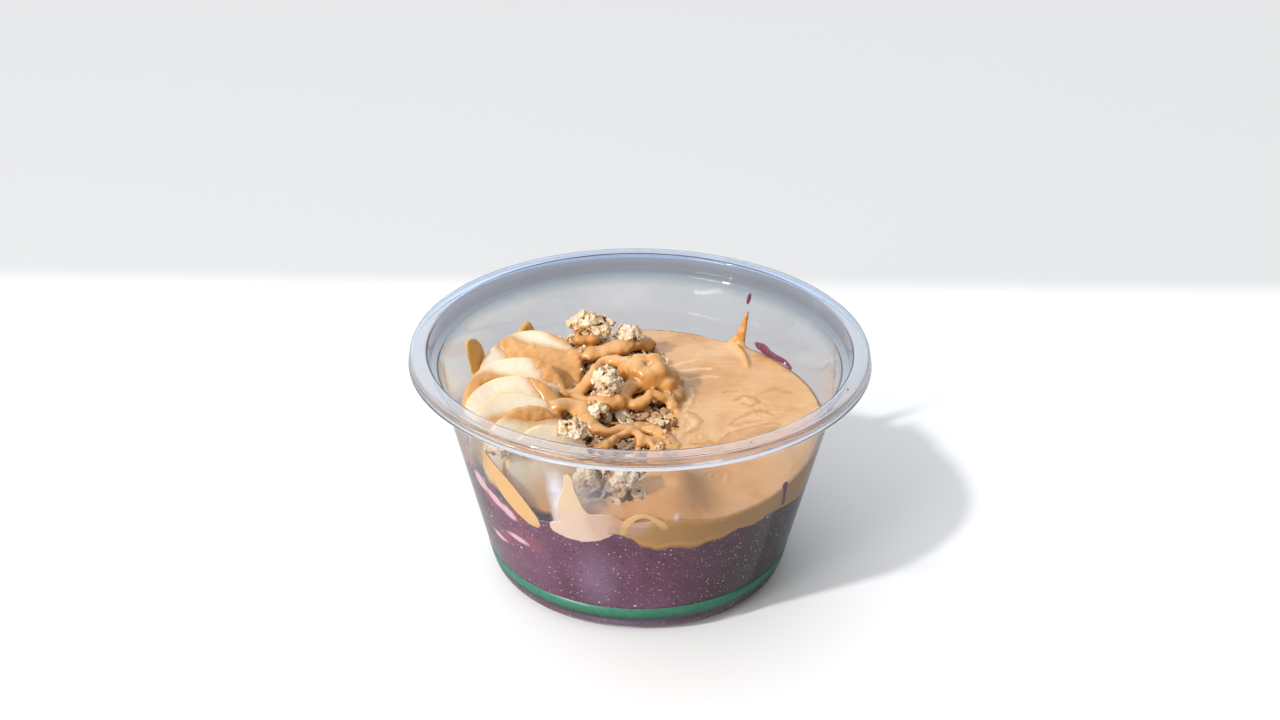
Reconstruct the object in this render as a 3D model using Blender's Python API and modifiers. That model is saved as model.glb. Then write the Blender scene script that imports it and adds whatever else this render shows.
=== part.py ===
"""Acai bowl: a clear takeaway bowl of acai puree, peanut butter, banana slices and granola.

Lengths are metres and +Z is up.  The origin is the middle of the bowl's underside, so the bowl's axis
is the Z axis.  The open pool of peanut butter lies towards +X, the banana slices lean in a fan along
the wall at -X, and the granola lies between them from the back of the bowl (+Y) to the front (-Y).
"""
import math

import bmesh
import bpy
from mathutils import Matrix, Vector, noise
from mathutils.bvhtree import BVHTree

MM = 0.001
GAP = 0.3 * MM                        # left between pieces that touch

# The bowl: one thermoformed sheet, turned down into a skirt at the rim, with a ledge that seats a lid
BOWL_HEIGHT = 70.5 * MM
SHEET = 0.6 * MM
RIM_RADIUS = 65.0 * MM
SKIRT_RADIUS = 65.6 * MM
SKIRT_HEIGHT = 3.4 * MM
RIM_ROUNDING = 0.5 * MM
FLANGE_INNER_RADIUS = 60.3 * MM
LEDGE_RADIUS = 58.0 * MM
LEDGE_DEPTH = 5.2 * MM
LEDGE_WIDTH = 1.3 * MM
LEDGE_RISE = 0.7 * MM
FOOT_RADIUS = 42.75 * MM              # where the outer wall's straight line meets the underside's plane
CORNER_RADIUS = 6.0 * MM
BOWL_STEPS = 64
CORNER_STEPS = 4

# The fillings
ACAI_TOP = 35.0 * MM
POOL_TOP = 47.4 * MM                  # at the back of the bowl
POOL_FALL = 6.0 * MM                  # how much lower the pool stands at the front wall
FALL_START = -14.0 * MM
FALL_LENGTH = 36.0 * MM
CREST_MIDDLE = 9.5 * MM               # a fold of peanut butter climbs from the front wall to the granola
CREST_SPREADS = (22.0 * MM, 5.0 * MM)
CREST_AT_WALL = 2.4 * MM
CREST_RISE = 5.2 * MM
CREST_START = -26.0 * MM
CREST_RAMP = 10.0 * MM
CREST_FOOT = 51.6 * MM                # from the bowl's axis
CREST_SLOPE = 7.5 * MM                # how far in from its foot the crest is at its full height
POOL_MIDDLE = (32.0 * MM, 0.0)
SHORE_MIDDLE = 13.5 * MM              # the pool's edge on the granola, as a curve x(y)
SHORE_END = 4.5 * MM
HEAP_MIDDLE = (-3.0 * MM, 2.0 * MM)
HEAP_TOP = 46.3 * MM
FILL_SPOKES = 88
FILL_RINGS = 6
REACH_STEP = 0.5 * MM

# Mounds of the granola heap: middle, height above HEAP_TOP, spread
HEAP_MOUNDS = (
    ((-16 * MM, 40 * MM), 5.0 * MM, 11 * MM),
    ((-2 * MM, 30 * MM), 5.0 * MM, 10 * MM),
    ((-9 * MM, 5 * MM), 3.5 * MM, 10 * MM),
    ((3 * MM, 11 * MM), 3.0 * MM, 8 * MM),
    ((-7 * MM, -44 * MM), 4.5 * MM, 13 * MM),
)

# Banana slices from the back of the fan to the front: middle of the upper face, tilt from level,
# heading of the tilt (degrees from -Y towards +X), radius
SLICE_THICKNESS = 4.4 * MM
SLICE_EDGE = 0.7 * MM
SLICE_SPOKES = 26
SLICE_FLATTENING = 0.96
SLICES = (
    ((-31.4 * MM, 19.9 * MM, 50.2 * MM), 31.0, 2.0, 15.2 * MM),
    ((-35.2 * MM, 5.0 * MM, 48.8 * MM), 34.0, 7.0, 15.2 * MM),
    ((-35.8 * MM, -5.9 * MM, 48.3 * MM), 38.0, 12.0, 14.9 * MM),
    ((-33.8 * MM, -15.6 * MM, 47.9 * MM), 42.0, 18.0, 14.6 * MM),
    ((-29.5 * MM, -24.1 * MM, 47.5 * MM), 45.5, 26.0, 14.1 * MM),
    ((-23.7 * MM, -31.2 * MM, 47.1 * MM), 48.5, 34.0, 13.4 * MM),
)

# Granola clusters as large as berries: middle, and size along X, Y and Z
CLUSTERS = (
    ((-15.0 * MM, 38.0 * MM, 57.0 * MM), (15.0 * MM, 9.0 * MM, 8.5 * MM)),
    ((-3.0 * MM, 34.0 * MM, 54.5 * MM), (8.5 * MM, 7.5 * MM, 7.0 * MM)),
    ((-9.4 * MM, 3.5 * MM, 55.0 * MM), (9.0 * MM, 10.5 * MM, 9.5 * MM)),
    ((2.0 * MM, 12.0 * MM, 53.5 * MM), (12.5 * MM, 12.0 * MM, 9.0 * MM)),
    ((-18.5 * MM, -25.0 * MM, 59.0 * MM), (9.0 * MM, 8.0 * MM, 6.0 * MM)),
    ((-12.0 * MM, -6.5 * MM, 53.5 * MM), (7.0 * MM, 7.0 * MM, 6.0 * MM)),
    ((-14.0 * MM, -45.0 * MM, 54.5 * MM), (8.0 * MM, 7.0 * MM, 9.0 * MM)),
    ((-3.5 * MM, -46.0 * MM, 55.0 * MM), (10.0 * MM, 8.0 * MM, 7.5 * MM)),
    ((-37.6 * MM, -33.2 * MM, 54.5 * MM), (8.5 * MM, 6.5 * MM, 5.5 * MM)),
)
CLUSTER_ROUGHNESS = 0.22
CLUSTER_GRAIN = 3.0                   # lumps along a cluster's length


def clear_startup_objects():
    for thing in list(bpy.data.objects):
        bpy.data.objects.remove(thing, do_unlink=True)


def new_collection(name):
    collection = bpy.data.collections.new(name)
    bpy.context.scene.collection.children.link(collection)
    return collection


def plain_material(name, color, roughness, alpha=1.0):
    material = bpy.data.materials.new(name)
    material.use_nodes = True
    shader = material.node_tree.nodes["Principled BSDF"]
    shader.inputs["Base Color"].default_value = (*color, 1.0)
    shader.inputs["Roughness"].default_value = roughness
    shader.inputs["Metallic"].default_value = 0.0
    shader.inputs["Alpha"].default_value = alpha
    return material


def new_object(name, mesh, collection, material):
    piece = bpy.data.objects.new(name, mesh)
    piece.data.materials.append(material)
    collection.objects.link(piece)
    return piece


def mesh_from(bm, name, smooth=True):
    mesh = bpy.data.meshes.new(name)
    bmesh.ops.recalc_face_normals(bm, faces=bm.faces)
    bm.to_mesh(mesh)
    bm.free()
    if smooth:
        mesh.shade_smooth()
    return mesh


def wall_slope():
    """Millimetres that the wall's radius grows for each millimetre of height."""
    return (LEDGE_RADIUS - FOOT_RADIUS) / (BOWL_HEIGHT - LEDGE_DEPTH)


def corner_profile(inset):
    """The base's rounded corner, from the underside to the wall, set in from the outer surface."""
    lean = math.atan(wall_slope())
    tangent_height = CORNER_RADIUS * (1 - math.sin(lean))
    middle_radius = FOOT_RADIUS + wall_slope() * tangent_height - CORNER_RADIUS * math.cos(lean)
    points = []
    for step in range(CORNER_STEPS + 1):
        angle = -math.pi / 2 + (math.pi / 2 - lean) * step / CORNER_STEPS
        radius = middle_radius + (CORNER_RADIUS - inset) * math.cos(angle)
        height = CORNER_RADIUS + (CORNER_RADIUS - inset) * math.sin(angle)
        points.append((radius, height))
    return points


def wall_radius(height, inset):
    """The wall's radius at a height, set in from the outer surface by an inset across the sheet."""
    return FOOT_RADIUS + wall_slope() * height - inset / math.cos(math.atan(wall_slope()))


def inner_radius(height):
    """The radius that is free for food at a height, with the gap to the sheet taken off."""
    inset = SHEET + GAP
    corner = corner_profile(inset)
    if height >= corner[-1][1]:
        return wall_radius(height, inset)
    for (low_radius, low), (high_radius, high) in zip(corner, corner[1:]):
        if height <= high:
            share = max(0.0, (height - low) / (high - low))
            return low_radius + share * (high_radius - low_radius)
    return corner[-1][0]


def turned_mesh(name, profile, closed):
    """A mesh of edges in the XZ plane, for a Screw modifier to turn about Z."""
    bm = bmesh.new()
    points = [bm.verts.new((radius, 0.0, height)) for radius, height in profile]
    for first, second in zip(points, points[1:]):
        bm.edges.new((first, second))
    if closed:
        bm.edges.new((points[-1], points[0]))
    mesh = bpy.data.meshes.new(name)
    bm.to_mesh(mesh)
    bm.free()
    return mesh


def add_screw(piece, steps):
    screw = piece.modifiers.new("Turn", "SCREW")
    screw.axis = "Z"
    screw.angle = 2 * math.pi
    screw.steps = steps
    screw.render_steps = steps
    screw.use_merge_vertices = True
    screw.merge_threshold = 0.00001
    screw.use_smooth_shade = True
    return screw


def build_bowl(collection, material):
    """The sheet's food side, turned about the axis and thickened away from the food."""
    ledge_height = BOWL_HEIGHT - LEDGE_DEPTH
    profile = [(0.0, SHEET)]
    profile += corner_profile(SHEET)
    profile += [
        (wall_radius(ledge_height, SHEET), ledge_height),
        (LEDGE_RADIUS + LEDGE_WIDTH, ledge_height + LEDGE_RISE),
        (FLANGE_INNER_RADIUS, BOWL_HEIGHT),
        (RIM_RADIUS - RIM_ROUNDING, BOWL_HEIGHT),
        (RIM_RADIUS, BOWL_HEIGHT - RIM_ROUNDING),
        (SKIRT_RADIUS, BOWL_HEIGHT - SKIRT_HEIGHT),
    ]
    bowl = new_object("bowl", turned_mesh("bowl", profile, closed=False), collection, material)
    add_screw(bowl, BOWL_STEPS)
    thicken = bowl.modifiers.new("Sheet", "SOLIDIFY")
    thicken.thickness = SHEET
    thicken.offset = -1.0
    thicken.use_even_offset = True
    return bowl


def build_acai(collection, material, sunk_pieces, cutters):
    """The puree fills the bowl up to a level top, which the lowest banana slices press into."""
    floor = SHEET + GAP
    profile = [(0.0, ACAI_TOP), (inner_radius(ACAI_TOP), ACAI_TOP)]
    profile += reversed(corner_profile(floor))
    profile.append((0.0, floor))
    acai = new_object("acai_base", turned_mesh("acai_base", profile, closed=False), collection, material)
    add_screw(acai, BOWL_STEPS)
    for place, piece in enumerate(sunk_pieces, start=1):
        cutter = build_slice(f"slice_cutter_{place}", piece, GAP, cutters, material)
        cutter.hide_render = True
        cutter.display_type = "WIRE"
        cut = acai.modifiers.new(f"Dent {place}", "BOOLEAN")
        cut.operation = "DIFFERENCE"
        cut.solver = "EXACT"
        cut.object = cutter
    return acai


def shore(y):
    """The X at which the pool of peanut butter meets the granola."""
    reach = y / wall_radius(POOL_TOP, SHEET)
    return SHORE_MIDDLE - (SHORE_MIDDLE - SHORE_END) * reach * reach


def eased(share):
    """A share held between 0 and 1 that starts and ends gently."""
    share = max(0.0, min(1.0, share))
    return share * share * (3.0 - 2.0 * share)


def pool_top(x, y):
    """The height of the pool: level at the back, falling to the front wall, with the fold's crest."""
    level = POOL_TOP - POOL_FALL * eased((FALL_START - y) / FALL_LENGTH)
    spread = CREST_SPREADS[1] if x > CREST_MIDDLE else CREST_SPREADS[0]
    crest = math.exp(-((x - CREST_MIDDLE) / spread) ** 2)
    crest *= max(0.0, min(1.0, (CREST_START - y) / CREST_RAMP))
    inward = eased((CREST_FOOT - math.hypot(x, y)) / CREST_SLOPE)
    return level + crest * (CREST_AT_WALL + CREST_RISE * inward)


def heap_top(x, y):
    height = HEAP_TOP
    for (mound_x, mound_y), rise, spread in HEAP_MOUNDS:
        away = ((x - mound_x) ** 2 + (y - mound_y) ** 2) / spread ** 2
        height += rise * math.exp(-away)
    return height


def in_pool(x, y, z):
    return math.hypot(x, y) < inner_radius(z) and x > shore(y) + GAP


def in_heap(x, y, z):
    if math.hypot(x, y) > inner_radius(z) or x > shore(y):
        return False
    for (slice_x, slice_y, _), _, _, radius in SLICES:
        if math.hypot(x - slice_x, y - slice_y) < radius + 2 * GAP:
            return False
    return True


def reach_along(middle, angle, level, inside):
    """How far a filling spreads from its middle in one direction before it meets something."""
    def is_free(distance):
        x = middle[0] + distance * math.cos(angle)
        y = middle[1] + distance * math.sin(angle)
        return inside(x, y, level(x, y))

    near = 0.0
    while is_free(near + REACH_STEP):
        near += REACH_STEP
    far = near + REACH_STEP
    for _ in range(12):
        half = (near + far) / 2
        if is_free(half):
            near = half
        else:
            far = half
    return near


def build_filling(name, middle, inside, top, collection, material):
    """A filling that lies on the puree: a closed cage, its rim pushed out to what holds it."""
    floor = ACAI_TOP + GAP
    bm = bmesh.new()
    bmesh.ops.create_uvsphere(bm, u_segments=FILL_SPOKES, v_segments=2 * FILL_RINGS, radius=1.0)
    for vertex in bm.verts:
        ring = round(math.acos(max(-1.0, min(1.0, vertex.co.z))) / math.pi * 2 * FILL_RINGS)
        angle = math.atan2(vertex.co.y, vertex.co.x)
        rise = 1.0 if ring < FILL_RINGS else 0.0
        if ring == FILL_RINGS:
            rise = 0.5

        def level(x, y):
            return floor + rise * (top(x, y) - floor)

        share = min(1.0, min(ring, 2 * FILL_RINGS - ring) / (FILL_RINGS - 1))
        reach = reach_along(middle, angle, level, inside) * share
        x = middle[0] + reach * math.cos(angle)
        y = middle[1] + reach * math.sin(angle)
        vertex.co = (x, y, level(x, y))
    return new_object(name, mesh_from(bm, name), collection, material)


def slice_matrix(place, tilt, heading):
    """Stands a slice's upper face at a place, tilted from level towards a heading."""
    turn = Matrix.Rotation(math.radians(heading), 4, "Z")
    lean = Matrix.Rotation(math.radians(tilt), 4, "X")
    return Matrix.Translation(place) @ turn @ lean


def build_slice(name, values, grow, collection, material):
    """A banana slice: a slightly oval disc with rounded edges, or its cutter, grown by a gap."""
    place, tilt, heading, radius = values
    bm = bmesh.new()
    bmesh.ops.create_cone(bm, cap_ends=True, cap_tris=False, segments=SLICE_SPOKES,
                          radius1=radius + grow, radius2=radius + grow,
                          depth=SLICE_THICKNESS + 2 * grow)
    bmesh.ops.translate(bm, vec=(0.0, 0.0, -SLICE_THICKNESS / 2), verts=bm.verts)
    bmesh.ops.scale(bm, vec=(1.0, SLICE_FLATTENING, 1.0), verts=bm.verts)
    piece = new_object(name, mesh_from(bm, name), collection, material)
    piece.matrix_world = slice_matrix(place, tilt, heading)
    if not grow:
        piece.data.set_sharp_from_angle(angle=math.radians(40))
        edge = piece.modifiers.new("Edge", "BEVEL")
        edge.width = SLICE_EDGE
        edge.segments = 1
        edge.limit_method = "ANGLE"
    return piece


def build_cluster(name, place, size, collection, material):
    """A baked lump of oats: a rough ball, drawn out to its length, width and height."""
    bm = bmesh.new()
    bmesh.ops.create_icosphere(bm, subdivisions=2, radius=0.5)
    seed = Vector(place) / (2 * MM)
    for vertex in bm.verts:
        lump = noise.noise(vertex.co * CLUSTER_GRAIN + seed)
        vertex.co *= 1.0 + CLUSTER_ROUGHNESS * lump
    bmesh.ops.scale(bm, vec=size, verts=bm.verts)
    bmesh.ops.translate(bm, vec=place, verts=bm.verts)
    return new_object(name, mesh_from(bm, name), collection, material)


def evaluated_tree(piece):
    bpy.context.view_layer.update()
    graph = bpy.context.evaluated_depsgraph_get()
    mesh = bpy.data.meshes.new_from_object(piece.evaluated_get(graph))
    mesh.transform(piece.matrix_world)
    bm = bmesh.new()
    bm.from_mesh(mesh)
    tree = BVHTree.FromBMesh(bm)
    points = [vertex.co.copy() for vertex in bm.verts]
    bm.free()
    bpy.data.meshes.remove(mesh)
    return tree, points


def settle(piece, supports):
    """Lowers or lifts a piece until it lies one gap above the highest thing beneath it."""
    tree, points = evaluated_tree(piece)
    down = Vector((0.0, 0.0, -1.0))
    high = 0.2
    clearance = high
    for support_tree, support_points in supports:
        for point in points:
            hit = support_tree.ray_cast(Vector((point.x, point.y, high)), down)[0]
            if hit:
                clearance = min(clearance, point.z - hit.z)
        for point in support_points:
            hit = tree.ray_cast(Vector((point.x, point.y, -high)), -down)[0]
            if hit:
                clearance = min(clearance, hit.z - point.z)
    for vertex in piece.data.vertices:
        vertex.co.z -= clearance - 1.3 * GAP


def build_all():
    clear_startup_objects()
    parts = new_collection("acai_bowl")
    cutters = new_collection("cutters")
    clear_plastic = plain_material("clear_bioplastic", (0.80, 0.84, 0.88), 0.08, 0.35)
    acai = plain_material("acai_puree", (0.14, 0.045, 0.085), 0.45)
    peanut = plain_material("peanut_butter", (0.66, 0.38, 0.15), 0.35)
    banana = plain_material("banana_flesh", (0.88, 0.78, 0.50), 0.45)
    oats = plain_material("baked_oats", (0.62, 0.42, 0.24), 0.80)

    build_bowl(parts, clear_plastic)
    slices = []
    for place, values in enumerate(SLICES, start=1):
        slices.append(build_slice(f"banana_slice_{place}", values, 0.0, parts, banana))
    build_acai(parts, acai, SLICES[2:], cutters)
    build_filling("peanut_butter", POOL_MIDDLE, in_pool, pool_top, parts, peanut)
    heap = build_filling("granola_heap", HEAP_MIDDLE, in_heap, heap_top, parts, oats)

    supports = [evaluated_tree(piece) for piece in [heap, *slices]]
    for place, (middle, size) in enumerate(CLUSTERS, start=1):
        cluster = build_cluster(f"granola_cluster_{place}", middle, size, parts, oats)
        settle(cluster, supports)


build_all()
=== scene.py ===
"""Acai bowl: the looks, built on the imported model.

A clear takeaway bowl holds frozen acai puree.  A pool of peanut butter lies on its right, banana
slices lean in a fan on its left, and granola with ropes of peanut butter runs between them.
Lengths are metres, +Z is up, and the origin is the middle of the bowl's underside.
"""
import math

import bmesh
import bpy
import numpy as np
from mathutils import Matrix, Vector, noise
from mathutils.bvhtree import BVHTree


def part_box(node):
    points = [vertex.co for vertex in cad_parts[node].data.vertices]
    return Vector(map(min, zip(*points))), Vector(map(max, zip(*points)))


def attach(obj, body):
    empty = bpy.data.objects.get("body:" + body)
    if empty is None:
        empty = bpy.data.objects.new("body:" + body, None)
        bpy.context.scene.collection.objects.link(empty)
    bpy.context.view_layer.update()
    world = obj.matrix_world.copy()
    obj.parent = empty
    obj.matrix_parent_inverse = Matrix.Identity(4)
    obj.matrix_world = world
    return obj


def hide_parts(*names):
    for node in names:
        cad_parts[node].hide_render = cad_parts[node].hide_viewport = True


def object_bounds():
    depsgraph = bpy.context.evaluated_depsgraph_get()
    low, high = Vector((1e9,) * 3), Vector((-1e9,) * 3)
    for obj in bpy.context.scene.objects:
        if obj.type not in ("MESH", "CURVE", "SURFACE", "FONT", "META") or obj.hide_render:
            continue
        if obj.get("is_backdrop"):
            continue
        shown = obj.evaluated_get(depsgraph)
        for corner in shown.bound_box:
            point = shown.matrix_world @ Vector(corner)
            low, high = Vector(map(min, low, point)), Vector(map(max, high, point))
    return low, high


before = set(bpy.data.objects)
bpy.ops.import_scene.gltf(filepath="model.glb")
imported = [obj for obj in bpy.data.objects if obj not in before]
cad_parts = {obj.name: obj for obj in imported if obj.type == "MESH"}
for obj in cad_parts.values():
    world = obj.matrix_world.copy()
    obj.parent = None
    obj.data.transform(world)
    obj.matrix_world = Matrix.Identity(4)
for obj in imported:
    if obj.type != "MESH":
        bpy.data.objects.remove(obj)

MM = 0.001
cad_low, cad_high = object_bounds()
scene = bpy.context.scene

# ---------------------------------------------------------------------------------------------------
# Camera: a hand-held shot from the front, looking down into the bowl, very slightly rolled.
CAMERA_AIM = Vector((0.0, 0.0, cad_high.z - 6.1 * MM))
CAMERA_DISTANCE = 500 * MM
CAMERA_ELEVATION = math.radians(27.72)
CAMERA_ROLL = math.radians(0.61)
CAMERA_LENS = 49.21


def in_scene(name, data):
    """A new object in the scene."""
    thing = bpy.data.objects.new(name, data)
    scene.collection.objects.link(thing)
    return thing


def turn_to(thing, rotation):
    thing.rotation_mode = "QUATERNION"
    thing.rotation_quaternion = rotation


camera_back = Vector((0.0, -math.cos(CAMERA_ELEVATION), math.sin(CAMERA_ELEVATION)))
camera = in_scene("camera", bpy.data.cameras.new("camera"))
camera.data.lens = CAMERA_LENS
camera.data.clip_start = 10 * MM
camera.data.clip_end = 20.0
camera.location = CAMERA_AIM + camera_back * CAMERA_DISTANCE
level = (-camera_back).to_track_quat("-Z", "Y")
turn_to(camera, (level.to_matrix() @ Matrix.Rotation(CAMERA_ROLL, 3, "Z")).to_quaternion())
scene.camera = camera


# ---------------------------------------------------------------------------------------------------
# Table: a sheet of white card, with a light grey part well behind the bowl.
# It is lit by a soft daylight dome, a fairly hard key light from the front left, and a tall window.
GREY_STARTS = 172 * MM
GREY_ENDS = 200 * MM
CARD_RADIUS = 3.0
CARD_WHITE = 0.93
CARD_GREY = 0.69
CARD_BOUNCE = (0.51, 0.505, 0.50)      # what the card throws back on the bowl
SEEN_DOME = 0.80
DOME_STRENGTH = 1.18
KEY_WAY = Vector((-78.8, -54.4, 70.5))
KEY_STRENGTH = 2.1
KEY_SPREAD = math.radians(3.5)
WINDOW_WAY = Vector((-0.52, -0.62, 0.42)).normalized()
WINDOW_AWAY = 0.9
WINDOW_WIDTH = 0.24
WINDOW_HEIGHT = 0.55
WINDOW_WATTS = 2.3


def linear(colour):
    """A linear colour with alpha, from an sRGB hex value or from levels that are linear already."""
    if not isinstance(colour, str):
        return (*(colour if isinstance(colour, tuple) else (colour,) * 3), 1.0)
    channels = [int(colour[i:i + 2], 16) / 255 for i in (1, 3, 5)]
    return (*[c / 12.92 if c <= 0.04045 else ((c + 0.055) / 1.055) ** 2.4 for c in channels], 1.0)


def add_node(tree, kind, settings=None, inputs=None):
    """Adds a node, sets its properties, and sets or links its inputs."""
    node = tree.nodes.new(kind)
    for name, value in (settings or {}).items():
        setattr(node, name, value)
    for key, value in (inputs or {}).items():
        if isinstance(value, bpy.types.NodeSocket):
            tree.links.new(value, node.inputs[key])
        else:
            node.inputs[key].default_value = value
    return node


def maths(tree, operation, *values, clamp=False):
    return add_node(tree, "ShaderNodeMath", {"operation": operation, "use_clamp": clamp},
                    dict(enumerate(values))).outputs[0]


def vector_maths(tree, operation, *values):
    outputs = add_node(tree, "ShaderNodeVectorMath", {"operation": operation},
                       dict(enumerate(values))).outputs
    return outputs["Value" if operation == "LENGTH" else "Vector"]


def remapped(tree, value, low, high, to_low=0.0, to_high=1.0, kind="LINEAR"):
    """A value with its range from low to high laid on another one, and kept inside it."""
    return add_node(tree, "ShaderNodeMapRange", {"interpolation_type": kind}, {
        "Value": value, "From Min": low, "From Max": high, "To Min": to_low,
        "To Max": to_high}).outputs["Result"]


def ramp(tree, share, *stops):
    """The colour at a share of the way through stops, each a place and a colour."""
    node = add_node(tree, "ShaderNodeValToRGB", inputs={"Fac": share})
    elements = node.color_ramp.elements
    while len(elements) < len(stops):
        elements.new(1.0)
    for element, (place, colour) in zip(elements, stops):
        element.position = place
        element.color = linear(colour)
    return node.outputs["Color"]


def blended(tree, share, first, second, blend="MIX"):
    """Two colours, or links to colours, blended by a share."""
    ends = [end if isinstance(end, bpy.types.NodeSocket) else linear(end) for end in (first, second)]
    return add_node(tree, "ShaderNodeMix", {"data_type": "RGBA", "blend_type": blend},
                    {"Factor": share, 6: ends[0], 7: ends[1]}).outputs[2]


def noise_at(tree, place, size, detail=2.0, distortion=0.0):
    """Noise with features of about a size in millimetres."""
    return add_node(tree, "ShaderNodeTexNoise", inputs={
        "Vector": place, "Scale": 1 / (size * MM), "Detail": detail, "Distortion": distortion}).outputs["Fac"]


def light_path(tree, kind):
    return add_node(tree, "ShaderNodeLightPath").outputs[f"Is {kind} Ray"]


def mixed_shader(tree, share, first, second):
    return add_node(tree, "ShaderNodeMixShader", inputs={
        0: share, 1: first.outputs[0], 2: second.outputs[0]}).outputs[0]


def separated(tree, vector):
    return add_node(tree, "ShaderNodeSeparateXYZ", inputs={"Vector": vector}).outputs


def new_material(name, **shader_inputs):
    """A material with one Principled shader, and object coordinates to lay patterns by."""
    material = bpy.data.materials.new(name)
    material.use_nodes = True
    tree = material.node_tree
    shader = tree.nodes["Principled BSDF"]
    for key, value in shader_inputs.items():
        shader.inputs[key.replace("_", " ")].default_value = value
    return material, tree, shader, add_node(tree, "ShaderNodeTexCoord").outputs["Object"]


def paint(tree, shader, colour, height=None, strength=0.0, distance=0.0):
    """Gives a shader its colour and, from a height, its fine relief."""
    tree.links.new(colour, shader.inputs["Base Color"])
    if height is not None:
        bump = add_node(tree, "ShaderNodeBump", inputs={
            "Strength": strength, "Distance": distance, "Height": height})
        tree.links.new(bump.outputs["Normal"], shader.inputs["Normal"])


def mesh_from(bm, name, outward=False, smooth=False):
    """A mesh made from a bmesh, which is freed."""
    if outward:
        bmesh.ops.recalc_face_normals(bm, faces=bm.faces)
    mesh = bpy.data.meshes.new(name)
    bm.to_mesh(mesh)
    bm.free()
    if smooth:
        mesh.shade_smooth()
    return mesh


card, tree, shader, place = new_material("matt white card", Roughness=0.9, Specular_IOR_Level=0.1)
to_grey = remapped(tree, separated(tree, place)["Y"], GREY_STARTS, GREY_ENDS, kind="SMOOTHSTEP")
seen_card = blended(tree, to_grey, CARD_WHITE, CARD_GREY)
paint(tree, shader, blended(tree, light_path(tree, "Camera"), CARD_BOUNCE, seen_card))

bm = bmesh.new()
bmesh.ops.create_circle(bm, cap_ends=True, segments=96, radius=CARD_RADIUS)
table = in_scene("table", mesh_from(bm, "table"))
table.data.materials.append(card)
table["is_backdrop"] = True

# The dome is brighter and bluer behind the bowl, and darkest at the right
dome = bpy.data.worlds.new("daylight dome")
dome.use_nodes = True
tree = dome.node_tree
tree.nodes.clear()
way = separated(tree, add_node(tree, "ShaderNodeTexCoord").outputs["Generated"])
sides = ramp(tree, remapped(tree, way["X"], -0.8, 0.8), (0.0, (0.87, 0.86, 0.85)), (0.5, 0.72), (1.0, 0.13))
rise = ramp(tree, way["Z"], (0.0, 0.50), (0.3, 0.80), (1.0, 1.0))
behind = blended(tree, remapped(tree, way["Y"], 0.3, 0.9), (1.0, 0.975, 0.95), (1.78, 2.1, 2.42))
sky = blended(tree, 1.0, blended(tree, 1.0, sides, rise, "MULTIPLY"), behind, "MULTIPLY")
lit = add_node(tree, "ShaderNodeBackground", inputs={"Color": sky, "Strength": DOME_STRENGTH})
seen = add_node(tree, "ShaderNodeBackground", inputs={"Color": linear(SEEN_DOME), "Strength": 1.0})
add_node(tree, "ShaderNodeOutputWorld", inputs={
    "Surface": mixed_shader(tree, light_path(tree, "Camera"), lit, seen)})
scene.world = dome

key_light = in_scene("key light", bpy.data.lights.new("key light", "SUN"))
key_light.data.energy = KEY_STRENGTH
key_light.data.angle = KEY_SPREAD
turn_to(key_light, KEY_WAY.to_track_quat("Z", "Y"))

window = in_scene("window", bpy.data.lights.new("window", "AREA"))
window.data.shape = "RECTANGLE"
window.data.size = WINDOW_WIDTH
window.data.size_y = WINDOW_HEIGHT
window.data.energy = WINDOW_WATTS
window.location = WINDOW_WAY * WINDOW_AWAY
turn_to(window, WINDOW_WAY.to_track_quat("Z", "Y"))
window.visible_camera = False

scene.view_settings.view_transform = "Standard"


# ---------------------------------------------------------------------------------------------------
# Bowl: clear bioplastic, thermoformed from one 0.6 mm sheet.  The wall leans out to a ledge that
# seats a lid, and the sheet rises from it to a flat flange and turns down into a short skirt.
SHEET = 0.6 * MM
RIM_RADIUS = cad_high.x - 0.6 * MM
RIM_HEIGHT = cad_high.z
LEDGE_HEIGHT = RIM_HEIGHT - 5.2 * MM
WALL_TOP_RADIUS = 57.4 * MM            # the food side of the wall, under the ledge
WALL_LEAN = 0.2335                     # growth of the wall's radius with height
CORNER_RADIUS = 5.4 * MM
BOWL_SPOKES = 192


def rounded(corners):
    """A line through corners (x, y, radius), each corner replaced by an arc."""
    line = []
    for index, (x, y, radius) in enumerate(corners):
        here = Vector((x, y))
        if index in (0, len(corners) - 1) or radius <= 0:
            line.append(here)
            continue
        before = (Vector(corners[index - 1][:2]) - here).normalized()
        after = (Vector(corners[index + 1][:2]) - here).normalized()
        half = before.angle(after) / 2
        middle = here + (before + after).normalized() * (radius / math.sin(half))
        start = here + before * (radius / math.tan(half)) - middle
        turn = start.angle_signed(here + after * (radius / math.tan(half)) - middle)
        steps = max(4, int(abs(turn) * 7))
        for step in range(steps + 1):
            line.append(middle + Matrix.Rotation(-turn * step / steps, 2) @ start)
    return line


def set_out(line, distance):
    """The line moved sideways, to the right of its direction, by a distance."""
    moved = []
    for index, point in enumerate(line):
        before = (point - line[index - 1]).normalized() if index else Vector((1, 0))
        after = (line[index + 1] - point).normalized() if index + 1 < len(line) else before
        way = (before + after).normalized()
        side = Vector((way.y, -way.x))
        moved.append(point + side * distance / max(0.5, side.dot(Vector((before.y, -before.x)))))
    return moved


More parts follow.
